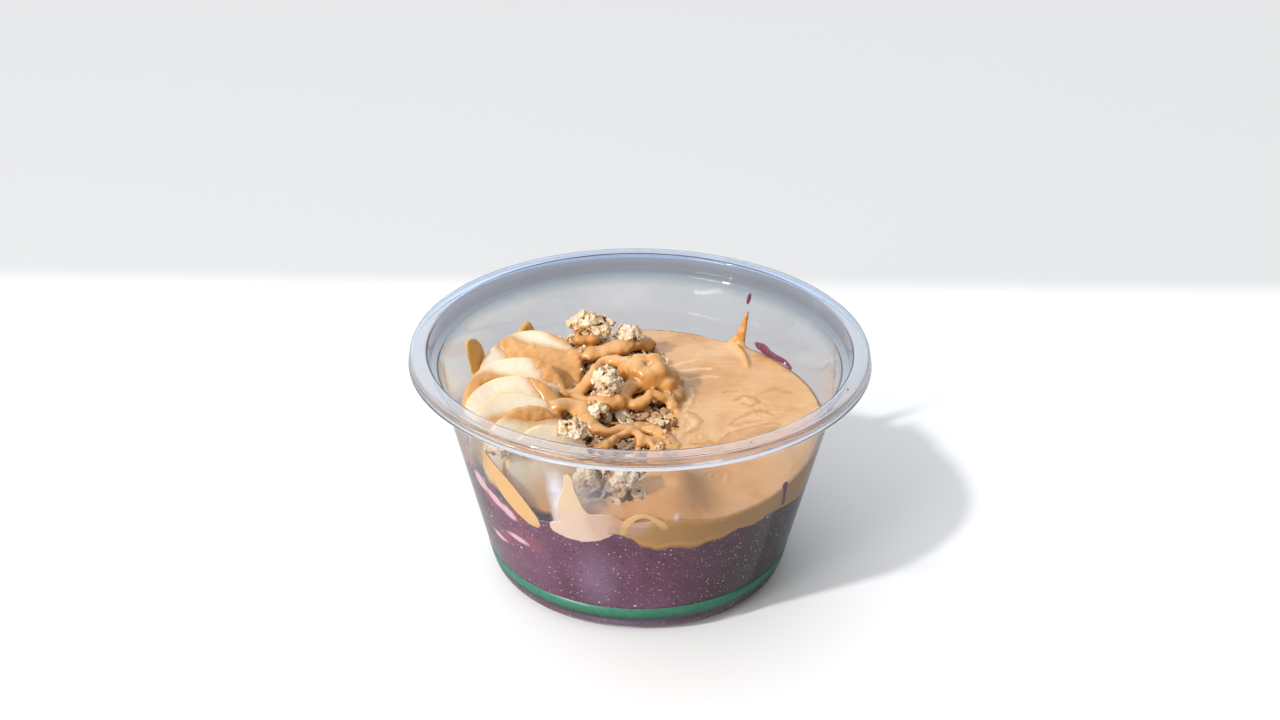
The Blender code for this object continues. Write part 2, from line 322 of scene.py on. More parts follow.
def turned(name, loop, closed):
    """A closed solid turned about Z from a loop of points (radius, height)."""
    bm = bmesh.new()
    rings = []
    for radius, height in loop:
        if radius < 1e-7:
            rings.append([bm.verts.new((0, 0, height))])
            continue
        rings.append([bm.verts.new((radius * math.cos(a), radius * math.sin(a), height))
                      for a in np.linspace(0, 2 * math.pi, BOWL_SPOKES, endpoint=False)])
    pairs = list(zip(rings, rings[1:])) + ([(rings[-1], rings[0])] if closed else [])
    for low, high in pairs:
        for i in range(BOWL_SPOKES):
            j = (i + 1) % BOWL_SPOKES
            ring = [low[i % len(low)], low[j % len(low)], high[j % len(high)], high[i % len(high)]]
            corners = list(dict.fromkeys(ring))
            if len(corners) > 2:
                bm.faces.new(corners)
    return mesh_from(bm, name, outward=True, smooth=True)


def settle(piece, material, slot, *nodes):
    """Puts a finished piece on the one body, with its material, in place of its CAD nodes."""
    piece.data.materials.clear()
    piece.data.materials.append(material)
    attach(piece, "root")
    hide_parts(*nodes)
    return piece


def wall_line_radius(height):
    return WALL_TOP_RADIUS - WALL_LEAN * (LEDGE_HEIGHT - height)


food_side = rounded([
    (0.0, SHEET, 0.0),
    (wall_line_radius(SHEET), SHEET, CORNER_RADIUS),
    (WALL_TOP_RADIUS, LEDGE_HEIGHT, 1.0 * MM),
    (WALL_TOP_RADIUS + 1.9 * MM, LEDGE_HEIGHT + 0.6 * MM, 0.3 * MM),
    (RIM_RADIUS - 4.7 * MM, RIM_HEIGHT, 1.0 * MM),
    (RIM_RADIUS - 0.05 * MM, RIM_HEIGHT, 1.0 * MM),
    (RIM_RADIUS + 0.6 * MM, RIM_HEIGHT - 3.4 * MM, 0.0),
])
table_side = set_out(food_side, SHEET)
table_side[-1] = food_side[-1] - Vector((SHEET, 0.0))
inner_heights = [point.y for point in food_side if point.y < LEDGE_HEIGHT]
inner_radii = [point.x for point in food_side if point.y < LEDGE_HEIGHT]


def wall_face(height):
    """The radius of the bowl's food side at a height below the ledge."""
    return float(np.interp(height, inner_heights, inner_radii))


# Clear PLA: faintly grey-blue, with a light haze.  Lamps and soft light pass straight through it.
# The drawn-down rim holds more tint than the wall does.  The lid seat is tinted darkest as painted shade, for
# the dark reflections there, and the front half is tinted lighter and pinker as a painted whitish reflection.
clear_sheet, tree, shader, place = new_material(
    "clear thermoformed PLA", Roughness=0.04, IOR=1.46, Transmission_Weight=0.985)
flat_place = vector_maths(tree, "MULTIPLY", place, (1000.0, 1000.0, 0.0))
rim_place = remapped(tree, vector_maths(tree, "LENGTH", flat_place), 56.0, 66.0)
# By radius: the sheet's own tint, with painted shade darkest in the lid seat
tint_with_painted_shade = ramp(tree, rim_place, (0.10, "#F7FAFF"), (0.16, "#B8C8D2"), (0.26, "#B1B4C0"),
                  (0.42, "#B6BAC6"), (0.50, "#F2F6FF"), (0.84, "#F2F6FF"), (0.90, "#C4CCDE"))
# For the front half: lighter and pinker, a painted reflection
front_tint_painted_lighter = ramp(tree, rim_place, (0.10, "#F3F4F7"), (0.18, "#F0E9E8"), (0.30, "#FAF6F7"),
                  (0.84, "#FAF6F7"), (0.92, "#EFE3DC"))
to_back = remapped(tree, separated(tree, place)["Y"], -45 * MM, 15 * MM)
paint(tree, shader, blended(tree, to_back, front_tint_painted_lighter, tint_with_painted_shade), noise_at(tree, place, 14), 0.25, 0.3 * MM)
soft_ray = maths(tree, "MAXIMUM", light_path(tree, "Shadow"), light_path(tree, "Diffuse"))
pass_through = add_node(tree, "ShaderNodeBsdfTransparent", inputs={"Color": linear("#F7F7F9")})
tree.links.new(mixed_shader(tree, soft_ray, shader, pass_through),
               tree.nodes["Material Output"].inputs["Surface"])

bowl_mesh = turned("bowl", food_side + table_side[::-1], closed=False)
settle(in_scene("clear_bowl", bowl_mesh), clear_sheet, "clear_bowl", "bowl")


# ---------------------------------------------------------------------------------------------------
# Stripe: a plain green band printed round the outside of the wall, just above the base's corner.
STRIPE_LOW = 5.5 * MM
STRIPE_HIGH = 10.0 * MM
INK = 0.05 * MM
OUTER_SHIFT = SHEET / math.cos(math.atan(WALL_LEAN))

green_ink, tree, shader, place = new_material("printed green ink", Roughness=0.3, IOR=1.5)
paint(tree, shader, ramp(tree, noise_at(tree, place, 1.5, 3.0), (0.3, "#33725A"), (0.7, "#42846C")))

stripe_loop = [
    (wall_line_radius(height) + OUTER_SHIFT + shift, height) for height, shift in
    ((STRIPE_LOW, -INK), (STRIPE_LOW, INK), (STRIPE_HIGH, INK), (STRIPE_HIGH, -INK))]
stripe_mesh = turned("stripe", stripe_loop, closed=True)
settle(in_scene("green_stripe", stripe_mesh), green_ink, "green_print")


# ---------------------------------------------------------------------------------------------------
# Acai: frozen purple puree with crushed seeds and ice, spooned in and pressed to the wall.
ACAI_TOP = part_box("acai_base")[1].z
INTO_WALL = 0.06 * MM                  # how far the puree goes into the wall's sheet
ACAI_SPOKES = 360
SIDE_STEPS = 44
SIDE_CROWDING = 0.9                    # below 1, the rows of the side crowd towards its top
TOP_INSETS = (0.3, 0.9, 1.8, 3.0, 5.0, 10.0, 20.0, 32.0)
LIP_REACH = 2.2                        # how far from the wall the edge's height dies away
TOP_SINK = 0.2 * MM
EDGE_WANDER = 0.8
# The puree's edge on the wall: bearing and height
ACAI_EDGE = (
    (-180, 35.2), (-150, 36.4), (-120, 35.0), (-95, 36.8), (-78, 38.5), (-66, 43.4), (-60, 45.4),
    (-55, 44.6), (-50, 42.2), (-45, 39.8), (-40, 37.4), (-36, 37.0), (-30, 39.0), (-24, 39.0),
    (-14, 37.8), (-8, 38.8), (-3, 38.2), (3, 35.6), (40, 35.9), (90, 35.0), (135, 36.0), (180, 35.2),
)
# Marks on the puree at the wall: bearing and height of the middle, half length, half width, slope
FROST = (
    (-57.0, 41.0, 5.0, 3.4, -0.7), (-50.3, 38.0, 5.2, 2.2, -0.6), (-44.7, 36.0, 4.4, 2.3, -0.6),
    (-54.4, 22.6, 5.4, 1.1, -0.11), (-43.0, 26.9, 5.8, 1.5, -0.05),
)
RED = (
    (-53.4, 36.3, 4.6, 2.6, -1.0), (-45.5, 37.6, 4.0, 1.6, -0.3), (-40.8, 36.0, 4.4, 2.2, -0.6),
    (-49.1, 24.5, 5.0, 3.2, -0.3), (-39.5, 29.0, 6.0, 2.4, -0.1), (-36.5, 26.7, 5.4, 1.5, 0.0),
)
# A painted highlight: pale and bluish, on the front left and low at the front
PAINTED_HIGHLIGHT = ((-14.0, 21.0, 8.0, 16.0, 0.0), (-8.0, 5.0, 22.0, 7.0, 0.0))
# Painted shade on the right, back and far left sides, where less light falls; then a thin dark line and dark
# dots at the front left
SHADE_AND_DARK_MARKS = (
    (55.0, 22.0, 34.0, 40.0, 0.0), (180.0, 22.0, 60.0, 40.0, 0.0), (-85.0, 25.0, 30.0, 50.0, 0.0),
    (-57.0, 33.4, 6.0, 1.1, -0.1), (-44.2, 35.9, 1.3, 1.3, 0.0), (-42.6, 35.0, 1.2, 1.2, 0.0),
    (-52.2, 33.2, 1.4, 1.2, 0.0),
)


def clamped(value, low=0.0, high=1.0):
    return min(high, max(low, value))


def eased(share):
    """A share from 0 to 1 with a soft start and end."""
    return share * share * (3 - 2 * share)


def read_off(table, at):
    """The value between the pairs of a table at a place along it."""
    return float(np.interp(at, [pair[0] for pair in table], [pair[1] for pair in table]))


def bearing(x, y):
    """Degrees from the front (-Y) towards +X."""
    return math.degrees(math.atan2(x, -y))


def on_wall(degrees, height, inset=0.0):
    """The point of the bowl's food side at a bearing and a height, set in by an inset."""
    radius = wall_face(height) - inset
    angle = math.radians(degrees)
    return Vector((radius * math.sin(angle), -radius * math.cos(angle), height))


def acai_edge(degrees):
    """The height of the puree's edge on the wall."""
    wander = EDGE_WANDER * noise.noise(Vector((degrees / 4.0, 0.0, 3.0)))
    return (read_off(ACAI_EDGE, degrees) + wander) * MM


def share_of(marks, degrees, height):
    """How far a place on the wall lies inside one kind of mark, from 0 to 1."""
    most = 0.0
    for middle, at_height, length, width, slope in marks:
        across = math.radians((degrees - middle + 180) % 360 - 180) * wall_face(height) / MM
        up = height / MM - at_height
        s = (across + up * slope) / math.hypot(1, slope)
        t = (up - across * slope) / math.hypot(1, slope)
        most = max(most, min(1.0, 1.15 - math.hypot(s / length, t / width)))
    return eased(most)


bm = bmesh.new()
mark_layers = [(bm.verts.layers.float.new(name), marks) for name, marks in (
    ("frost", FROST), ("red", RED), ("painted_highlight", PAINTED_HIGHLIGHT), ("shade", SHADE_AND_DARK_MARKS))]
columns = []
for spoke in range(ACAI_SPOKES):
    degrees = spoke * 360 / ACAI_SPOKES - 180
    edge = acai_edge(degrees)
    column = []
    for step in range(SIDE_STEPS + 1):
        height = SHEET - INTO_WALL + (edge - SHEET) * (step / SIDE_STEPS) ** SIDE_CROWDING
        vert = bm.verts.new(on_wall(degrees, height, -INTO_WALL))
        for layer, marks in mark_layers:
            vert[layer] = share_of(marks, degrees, height)
        column.append(vert)
    for inset in TOP_INSETS:
        spot = on_wall(degrees, edge, inset * MM)
        top_height = ACAI_TOP + (edge - ACAI_TOP) * math.exp(-(inset / LIP_REACH) ** 2)
        column.append(bm.verts.new((spot.x, spot.y, top_height - TOP_SINK)))
    columns.append(column)
for column, following in zip(columns, columns[1:] + columns[:1]):
    for i in range(len(column) - 1):
        bm.faces.new((column[i], following[i], following[i + 1], column[i + 1]))
bm.faces.new([column[-1] for column in columns])
bm.faces.new([column[0] for column in reversed(columns)])
acai_mesh = mesh_from(bm, "acai", outward=True, smooth=True)


def attribute(tree, name):
    return add_node(tree, "ShaderNodeAttribute", {"attribute_name": name}).outputs["Fac"]


# Puree against the wall: purple, broken up by pale ice grains and dark seed skins
acai_puree, tree, shader, place = new_material(
    "frozen acai puree", Roughness=0.42, IOR=1.36, Subsurface_Weight=0.08, Subsurface_Scale=1.0 * MM)
colour = ramp(tree, noise_at(tree, place, 12, 5.0), (0.3, "#603049"), (0.7, "#7C4866"))
# Marks laid over the puree's colour: a pale bluish painted highlight, painted shade where less light falls,
# and red patches
for mark, tint, strength in (("painted_highlight", "#B4A2C2", 0.24), ("shade", "#1C0A10", 0.92), ("red", "#A04A5A", 0.8)):
    colour = blended(tree, maths(tree, "MULTIPLY", attribute(tree, mark), strength), colour, tint)
# Grains: size, the distances at which they are full and gone, tint
for size, low, high, tint in ((1.5, 0.10, 0.22, "#D8B8C4"), (0.9, 0.10, 0.26, "#B48CA4"),
                              (0.7, 0.12, 0.28, "#4A2438"), (1.9, 0.10, 0.22, "#1C0E18"),
                              (1.1, 0.10, 0.22, "#C49AAE"), (4.5, 0.06, 0.11, "#E8D2D8")):
    grains = add_node(tree, "ShaderNodeTexVoronoi", inputs={"Vector": place, "Scale": 1 / (size * MM)})
    grain = remapped(tree, grains.outputs["Distance"], high, low)
    chosen = add_node(tree, "ShaderNodeSeparateColor", inputs={"Color": grains.outputs["Color"]})
    some = maths(tree, "GREATER_THAN", chosen.outputs[0], 0.6)
    colour = blended(tree, maths(tree, "MULTIPLY", grain, some), colour, tint)
broken = maths(tree, "SUBTRACT", noise_at(tree, place, 2.2, 6.0), 0.75)
frosted = maths(tree, "MULTIPLY_ADD", attribute(tree, "frost"), 1.15, broken)
paint(tree, shader, blended(tree, remapped(tree, frosted, 0.0, 0.5), colour, "#E8BCC2"))
settle(in_scene("acai_puree", acai_mesh), acai_puree, "acai", "acai_base")


# ---------------------------------------------------------------------------------------------------
# Banana: six slices cut across a peeled banana, each a little oval and soft at the rim, leaning on
# one another in a fan.  Each stands where its CAD solid does and takes its tilt from it.
SLICE_SPOKES = 96
TOP_RINGS = 20
EDGE_STEPS = 7
UNDER_RINGS = 8
EDGE_ROUNDING = 0.8 * MM
FACE_SAG = 0.25 * MM                   # how much thinner the slice is near its edge
STRETCH = {1: 1.07, 2: 1.05}           # the two slices that bulge out to the left


def lie_of(node):
    """Middle, two axes across, normal, and half sizes of a flat CAD node, from its own corners."""
    corners = np.array([v.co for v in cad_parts[node].data.vertices])
    spread = corners - corners.mean(0)
    ways = np.linalg.svd(spread, full_matrices=False)[2]
    normal = Vector(ways[2]) * (1 if ways[2][2] > 0 else -1)
    across = Vector((0, 0, 1)).cross(normal).normalized()
    up_slope = normal.cross(across)
    middle = Vector(corners.mean(0))
    halves = []
    for way in (across, up_slope, normal):
        reach = spread @ np.array(way)
        middle = middle + way * float(reach.max() + reach.min()) / 2
        halves.append(float(reach.max() - reach.min()) / 2)
    return middle, across, up_slope, normal, halves


def bridge(bm, rings):
    """Faces between each ring of points and the next."""
    for inner, outer in zip(rings, rings[1:]):
        for i in range(len(inner)):
            j = (i + 1) % len(inner)
            bm.faces.new((inner[i], outer[i], outer[j], inner[j]))


def cap_ring(bm, middle, ring):
    for i in range(len(ring)):
        bm.faces.new((middle, ring[i], ring[(i + 1) % len(ring)]))


def banana_slice(node, seed, stretch):
    middle, across, up_slope, normal, (half_across, half_up, half_thick) = lie_of(node)
    side = across if across.x > 0 else -across
    middle = middle - side * (half_across * (stretch - 1))
    half_across *= stretch
    bm = bmesh.new()
    cut_face = bm.loops.layers.uv.new("cut face")
    places = {}

    def point(share, spoke, level_height):
        """A vertex at a share of the way out, with lobes, a ragged rim and a grooved face."""
        angle = 2 * math.pi * spoke / SLICE_SPOKES
        lobes = 1 + 0.022 * math.cos(3 * angle + seed) + 0.012 * math.cos(5 * angle + 2.3 * seed)
        ragged = noise.noise(Vector((3.2 * math.cos(angle), 3.2 * math.sin(angle), 7.0 * seed)))
        fine = noise.noise(Vector((14 * math.cos(angle), 14 * math.sin(angle), 3.0 * seed)))
        reach = share * (lobes - 0.02 + (0.018 * ragged + 0.008 * fine) * share ** 4)
        x = reach * half_across * math.cos(angle)
        y = reach * half_up * math.sin(angle)
        spot = Vector((x / MM, y / MM, 11.0 * seed))
        relief = 0.16 * noise.noise(spot * 0.16) + 0.05 * noise.noise(spot * 0.8)
        grooves = 0.03 * math.sin(26 * angle + 3 * seed) * min(1.0, share * 1.5)
        lift = (relief + grooves) * MM if level_height > 0 else 0.0
        vert = bm.verts.new(middle + across * x + up_slope * y + normal * (level_height + lift))
        places[vert] = (0.5 + reach * math.cos(angle) / 2.2, 0.5 + reach * math.sin(angle) / 2.2)
        return vert

    edge_share = 1 - EDGE_ROUNDING / half_across
    rings = []
    for ring in range(1, TOP_RINGS + 1):
        share = edge_share * ring / TOP_RINGS
        rings.append((share, half_thick - FACE_SAG * share ** 3))
    for step in range(1, EDGE_STEPS):
        angle = math.pi / 2 - math.pi * step / EDGE_STEPS
        out = math.cos(angle) ** 0.8
        rings.append((edge_share + (1 - edge_share) * out, (half_thick - FACE_SAG) * math.sin(angle)))
    for ring in range(UNDER_RINGS):
        rings.append((edge_share * (1 - ring / UNDER_RINGS), -half_thick + FACE_SAG))
    circles = [[point(share, spoke, high) for spoke in range(SLICE_SPOKES)] for share, high in rings]
    cap_ring(bm, point(0.0, 0, half_thick), circles[0])
    cap_ring(bm, point(0.0, 0, -half_thick + FACE_SAG), circles[-1][::-1])
    bridge(bm, circles)
    for face in bm.faces:
        for loop in face.loops:
            loop[cut_face].uv = places[loop.vert]
    return in_scene(node + "_cut", mesh_from(bm, node, outward=True, smooth=True))


# Ripe banana: cream flesh that lets light in, faint spokes and rings, a yellower band at the rim
banana_flesh, tree, shader, place = new_material(
    "cut ripe banana", Roughness=0.42, IOR=1.40, Subsurface_Weight=0.35,
    Subsurface_Radius=(1.0, 0.7, 0.35), Subsurface_Scale=2.2 * MM)
disc = add_node(tree, "ShaderNodeUVMap", {"uv_map": "cut face"}).outputs["UV"]
from_middle = vector_maths(tree, "LENGTH", vector_maths(tree, "SUBTRACT", disc, (0.5, 0.5, 0.0)))
mottle = noise_at(tree, place, 5, 4.0)
fine_grain = noise_at(tree, place, 0.8, 3.0)
flesh = ramp(tree, maths(tree, "MULTIPLY_ADD", mottle, 0.06, from_middle), (0.0, "#E8D3A8"),
             (0.13, "#F0E2C8"), (0.28, "#ECDCBC"), (0.36, "#F2E7D2"), (0.44, "#F1E3CA"), (0.475, "#E8D098"))
flesh = blended(tree, remapped(tree, fine_grain, 0.35, 0.75, 0.0, 0.25), flesh, "#E8D0A0", "MULTIPLY")
# Browned by the film of peanut butter round the bands, and by painted shade low down
film_and_painted_shade = attribute(tree, "film_and_painted_shade")
uneven = maths(tree, "MULTIPLY", maths(tree, "MULTIPLY_ADD", mottle, 0.5, -0.25), film_and_painted_shade)
flesh = blended(tree, maths(tree, "ADD", film_and_painted_shade, uneven, clamp=True), flesh, "#D29A58")
paint(tree, shader, flesh, fine_grain, 0.3, 0.2 * MM)

slices = []
for number in range(1, 7):
    node = f"banana_slice_{number}"
    slices.append(settle(banana_slice(node, 1.7 * number, STRETCH.get(number, 1.0)),
                         banana_flesh, "banana", node))


# ---------------------------------------------------------------------------------------------------
# Granola: baked oat clusters on a heap of loose oats.  Each cluster, and the heap's smaller core,
# is a rough body that is covered with rolled-oat flakes and crumbs.
FLAKE_SIDES = 12
CRAG_SIZE = 3.0 * MM
CREVICE_STARTS = 0.12                  # how far under the mean relief a crevice starts,
CREVICE_DEPTH = 0.4                    # and over what depth its painted shade darkens fully
CREVICE_SHADE = -0.7
HEAP_VOXEL = 0.9 * MM
HEAP_RELIEF = 0.9 * MM
HEAP_INSET = 1.0 * MM
HEAP_FRONT = (-26, 18)                 # the bearings between which the heap reaches the wall
HEAP_FOOT = 30 * MM
HEAP_SHOULDER = 40 * MM
HEAP_GAP = 6.5 * MM                    # how far its body stays off the wall there,
HEAP_SLOPE_FROM = 9                    # and how near the wall, in millimetres, it starts to slope
HEAP_SLOPE = 5
# The heap's body tone is nearly black: painted shade in the gaps between its loose oats
HEAP_COVER = {"Flake size": 5.4 * MM, "Flake spacing": 2.9 * MM, "Crumb size": 1.5 * MM,
              "Crumb spacing": 2.0 * MM, "Body tone": 0.08, "Least tone": 0.3, "Seed": 3}
CLUSTER_COVER = {"Flake size": 3.0 * MM, "Flake spacing": 2.7 * MM, "Crumb size": 0.85 * MM,
                 "Crumb spacing": 1.4 * MM, "Body tone": 0.72, "Least tone": 0.5}
CLUSTER_VOXEL = 0.4 * MM
CLUSTER_RELIEF = 1.2 * MM
CLUSTER_INSET = 0.45 * MM
WALL_CLUSTER = 4                       # the cluster next to the wall, which is drawn in more
WALL_CLUSTER_INSET = 2.3 * MM


def oat_flake(name, seed):
    """A rolled oat: a thin, curled oval with a crease along its middle and a ragged edge."""
    bm = bmesh.new()
    rings = []
    for share, thick in ((0.55, 0.5), (0.92, 0.36), (1.0, 0.0), (0.9, -0.3), (0.5, -0.42)):
        ring = []
        for side in range(FLAKE_SIDES):
            angle = 2 * math.pi * side / FLAKE_SIDES
            ragged = 1 + 0.16 * noise.noise(Vector((2 * math.cos(angle), 2 * math.sin(angle), seed)))
            x = share * ragged * math.cos(angle) * 0.5
            y = share * ragged * math.sin(angle) * 0.36
            curl = 0.45 * x * x - 0.5 * y * y + 0.1 * x * y * math.sin(seed)
            crease = -0.06 * math.exp(-(y / 0.06) ** 2)
            ring.append(bm.verts.new((x, y, curl + crease * share + thick * 0.14)))
        rings.append(ring)
    cap_ring(bm, bm.verts.new((0, 0, -0.02)), rings[0])
    cap_ring(bm, bm.verts.new((0, 0, -0.09)), rings[-1][::-1])
    bridge(bm, rings)
    return bpy.data.objects.new(name, mesh_from(bm, name, outward=True))


def oat_crumb(name, seed):
    """A broken grain: an angular lump."""
    bm = bmesh.new()
    bmesh.ops.create_icosphere(bm, subdivisions=1, radius=0.5)
    for vert in bm.verts:
        vert.co *= 1 + 0.55 * noise.noise(vert.co * 2.4 + Vector((seed, 2 * seed, 0)))
        vert.co.z *= 0.75
    return bpy.data.objects.new(name, mesh_from(bm, name))


def kinds(name, objects):
    """A collection of shapes that the trees pick from; it is not in the scene."""
    collection = bpy.data.collections.new(name)
    for thing in objects:
        collection.objects.link(thing)
    return collection


def random_value(tree, kind, low, high, seed):
    """A random number or vector for each point."""
    first = 0 if kind == "FLOAT_VECTOR" else 2
    return add_node(tree, "FunctionNodeRandomValue", {"data_type": kind}, {
        first: low, first + 1: high, "Seed": seed}).outputs[first // 2]


def toned(tree, geometry, domain, tone, crevice):
    """Stores a tone on a geometry, darkened in the body's crevices as painted shade."""
    sunk = maths(tree, "MULTIPLY_ADD", crevice, CREVICE_SHADE, tone)
    return add_node(tree, "GeometryNodeStoreNamedAttribute", {"data_type": "FLOAT", "domain": domain},
                    {"Geometry": geometry, "Name": "tone", "Value": sunk}).outputs[0]


def scatter_tree(name):
    """Covers a body with flakes and crumbs, each with its own tone, and joins them to the body."""
    tree = bpy.data.node_groups.new(name, "GeometryNodeTree")
    sockets = {"Geometry": "Geometry", "Flakes": "Collection", "Crumbs": "Collection", "Flake size": "Float",
               "Flake spacing": "Float", "Crumb size": "Float", "Crumb spacing": "Float",
               "Body tone": "Float", "Least tone": "Float", "Seed": "Int", "Material": "Material"}
    for socket_name, kind in sockets.items():
        tree.interface.new_socket(socket_name, in_out="INPUT", socket_type="NodeSocket" + kind)
    tree.interface.new_socket("Geometry", in_out="OUTPUT", socket_type="NodeSocketGeometry")
    given = add_node(tree, "NodeGroupInput").outputs
    crevice = add_node(tree, "GeometryNodeInputNamedAttribute", {"data_type": "FLOAT"},
                       {"Name": "crevice"}).outputs[0]
    covers = []
    for kind, tilt, salt in (("Flake", 0.38, 0.0), ("Crumb", 3.1, 50.0)):
        seed = maths(tree, "ADD", given["Seed"], salt)
        points = add_node(tree, "GeometryNodeDistributePointsOnFaces", {"distribute_method": "POISSON"}, {
            "Mesh": given["Geometry"], "Distance Min": given[kind + " spacing"],
            "Density Max": 4.0e6, "Seed": seed}).outputs
        turn = random_value(tree, "FLOAT_VECTOR", (-tilt, -tilt, -3.14), (tilt, tilt, 3.14), seed)
        aligned = add_node(tree, "FunctionNodeRotateRotation", {"rotation_space": "LOCAL"}, {
            "Rotation": points["Rotation"], "Rotate By": turn})
        scale = random_value(tree, "FLOAT", 0.55, 1.15, maths(tree, "ADD", seed, 7.0))
        shapes = add_node(tree, "GeometryNodeCollectionInfo", inputs={
            "Collection": given[kind + "s"], "Separate Children": True, "Reset Children": True})
        placed = add_node(tree, "GeometryNodeInstanceOnPoints", inputs={
            "Points": points["Points"], "Instance": shapes.outputs[0], "Pick Instance": True,
            "Rotation": aligned.outputs[0], "Scale": maths(tree, "MULTIPLY", scale, given[kind + " size"])})
        tone = random_value(tree, "FLOAT", given["Least tone"], 1.0, maths(tree, "ADD", seed, 13.0))
        cover = toned(tree, placed.outputs[0], "INSTANCE", tone, crevice)
        covers.append(add_node(tree, "GeometryNodeRealizeInstances", inputs={"Geometry": cover}).outputs[0])
    body = toned(tree, given["Geometry"], "POINT", given["Body tone"], crevice)
    joined = add_node(tree, "GeometryNodeJoinGeometry")
    for part in [body] + covers:
        tree.links.new(part, joined.inputs[0])
    whole = add_node(tree, "GeometryNodeRealizeInstances", inputs={"Geometry": joined.outputs[0]})
    finished = add_node(tree, "GeometryNodeSetMaterial", inputs={
        "Geometry": whole.outputs[0], "Material": given["Material"]})
    add_node(tree, "NodeGroupOutput", inputs={"Geometry": finished.outputs[0]})
    return tree


def evaluated(piece):
    """Swaps the piece's mesh for the one its modifiers make, and removes them."""
    mesh = bpy.data.meshes.new_from_object(piece.evaluated_get(bpy.context.evaluated_depsgraph_get()))
    piece.modifiers.clear()
    piece.data = mesh


def remeshed(piece, voxel, smoothing=0):
    """Makes a piece one even skin, and smooths it by a number of steps."""
    remesh = piece.modifiers.new("Even", "REMESH")
    remesh.mode = "VOXEL"
    remesh.voxel_size = voxel
    if smoothing:
        flow = piece.modifiers.new("Flow", "SMOOTH")
        flow.factor = 0.5
        flow.iterations = smoothing
    evaluated(piece)


def store(mesh, name, values, kind="FLOAT"):
    """Keeps a number, or a colour, for each vertex of a mesh."""
    layer = mesh.attributes.new(name, kind, "POINT")
    layer.data.foreach_set("value" if kind == "FLOAT" else "color", values)


def copy_of(node, name):
    """A closed copy of a CAD node's mesh as a new object in the scene."""
    bm = bmesh.new()
    bm.from_mesh(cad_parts[node].data)
    bmesh.ops.remove_doubles(bm, verts=bm.verts, dist=0.001 * MM)
    return in_scene(name, mesh_from(bm, name))


def roughened(piece, voxel, inset, depth, seed):
    """Remeshes a piece evenly, draws it in, and raises a craggy relief on it."""
    remeshed(piece, voxel)
    normals = [v.normal.copy() for v in piece.data.vertices]
    crevice = []
    for vert, normal in zip(piece.data.vertices, normals):
        spot = vert.co / CRAG_SIZE + Vector((seed, 0, 0))
        crags = noise.noise(spot) + 0.5 * noise.noise(spot * 2.3) + 0.4 * noise.noise(spot * 4.6)
        vert.co += normal * (crags * depth - inset)
        # Painted shade: how deep each place lies in a crevice
        crevice.append(min(1.0, max(0.0, -CREVICE_STARTS - crags) / CREVICE_DEPTH))
    store(piece.data, "crevice", crevice)
    piece.data.shade_smooth()
    return piece


# Baked oats: pale, floury flakes, toasted tan at places, and painted shade in dark brown deep between them
baked_oats, tree, shader, place = new_material(
    "baked oat granola", Roughness=0.75, IOR=1.45, Subsurface_Weight=0.12, Subsurface_Scale=0.8 * MM)
flour = noise_at(tree, place, 0.7, 3.0)
toast = maths(tree, "ADD", maths(tree, "MULTIPLY_ADD", noise_at(tree, place, 5, 3.0), 0.7, -0.35),
              maths(tree, "MULTIPLY_ADD", flour, 0.5, -0.25))
toasted = maths(tree, "ADD", toast, attribute(tree, "tone"), clamp=True)
oat_colour = ramp(tree, toasted, (0.0, "#4A2A1A"), (0.18, "#8A5A38"), (0.38, "#CB9F70"),
                  (0.62, "#E3C79F"), (0.92, "#EFE2CE"))
paint(tree, shader, oat_colour, flour, 0.6, 0.25 * MM)

granola_tree = scatter_tree("granola cover")
oats = {
    "Flakes": kinds("oat flakes", [oat_flake(f"flake_{i}", 3.7 * i + 1) for i in range(5)]),
    "Crumbs": kinds("oat crumbs", [oat_crumb(f"crumb_{i}", 5.1 * i + 2) for i in range(4)]),
    "Material": baked_oats}


def covered(piece, settings):
    """Runs the scatter tree on a piece, with its named inputs set by their identifiers."""
    cover = piece.modifiers.new("Scatter", "NODES")
    cover.node_group = granola_tree
    given = oats | settings
    for item in granola_tree.interface.items_tree:
        if item.in_out == "INPUT" and item.name in given:
            cover[item.identifier] = given[item.name]
    evaluated(piece)


heap = roughened(copy_of("granola_heap", "granola_heap_oats"), HEAP_VOXEL, HEAP_INSET, HEAP_RELIEF, 4.0)
for vert in heap.data.vertices:
    x, y, z = vert.co
    from_wall = (wall_face(z) - math.hypot(x, y)) / MM
    if from_wall < HEAP_SLOPE_FROM and z > HEAP_FOOT and HEAP_FRONT[0] < bearing(x, y) < HEAP_FRONT[1]:
        if z > HEAP_SHOULDER:
            vert.co.z -= HEAP_GAP * min(1.0, (HEAP_SLOPE_FROM - from_wall) / HEAP_SLOPE)
        inward = min(1.0, (wall_face(vert.co.z) - HEAP_GAP) / math.hypot(x, y))
        vert.co.x *= inward
        vert.co.y *= inward
covered(heap, HEAP_COVER)
settle(heap, baked_oats, "granola", "granola_heap")

clusters = []
for number in range(1, 10):
    node = f"granola_cluster_{number}"
    inset = WALL_CLUSTER_INSET if number == WALL_CLUSTER else CLUSTER_INSET
    cluster = copy_of(node, f"oat_cluster_{number}")
    roughened(cluster, CLUSTER_VOXEL, inset, CLUSTER_RELIEF, 7.3 * number)
    covered(cluster, CLUSTER_COVER | {"Seed": 20 + number})
    clusters.append(settle(cluster, baked_oats, "granola", node))


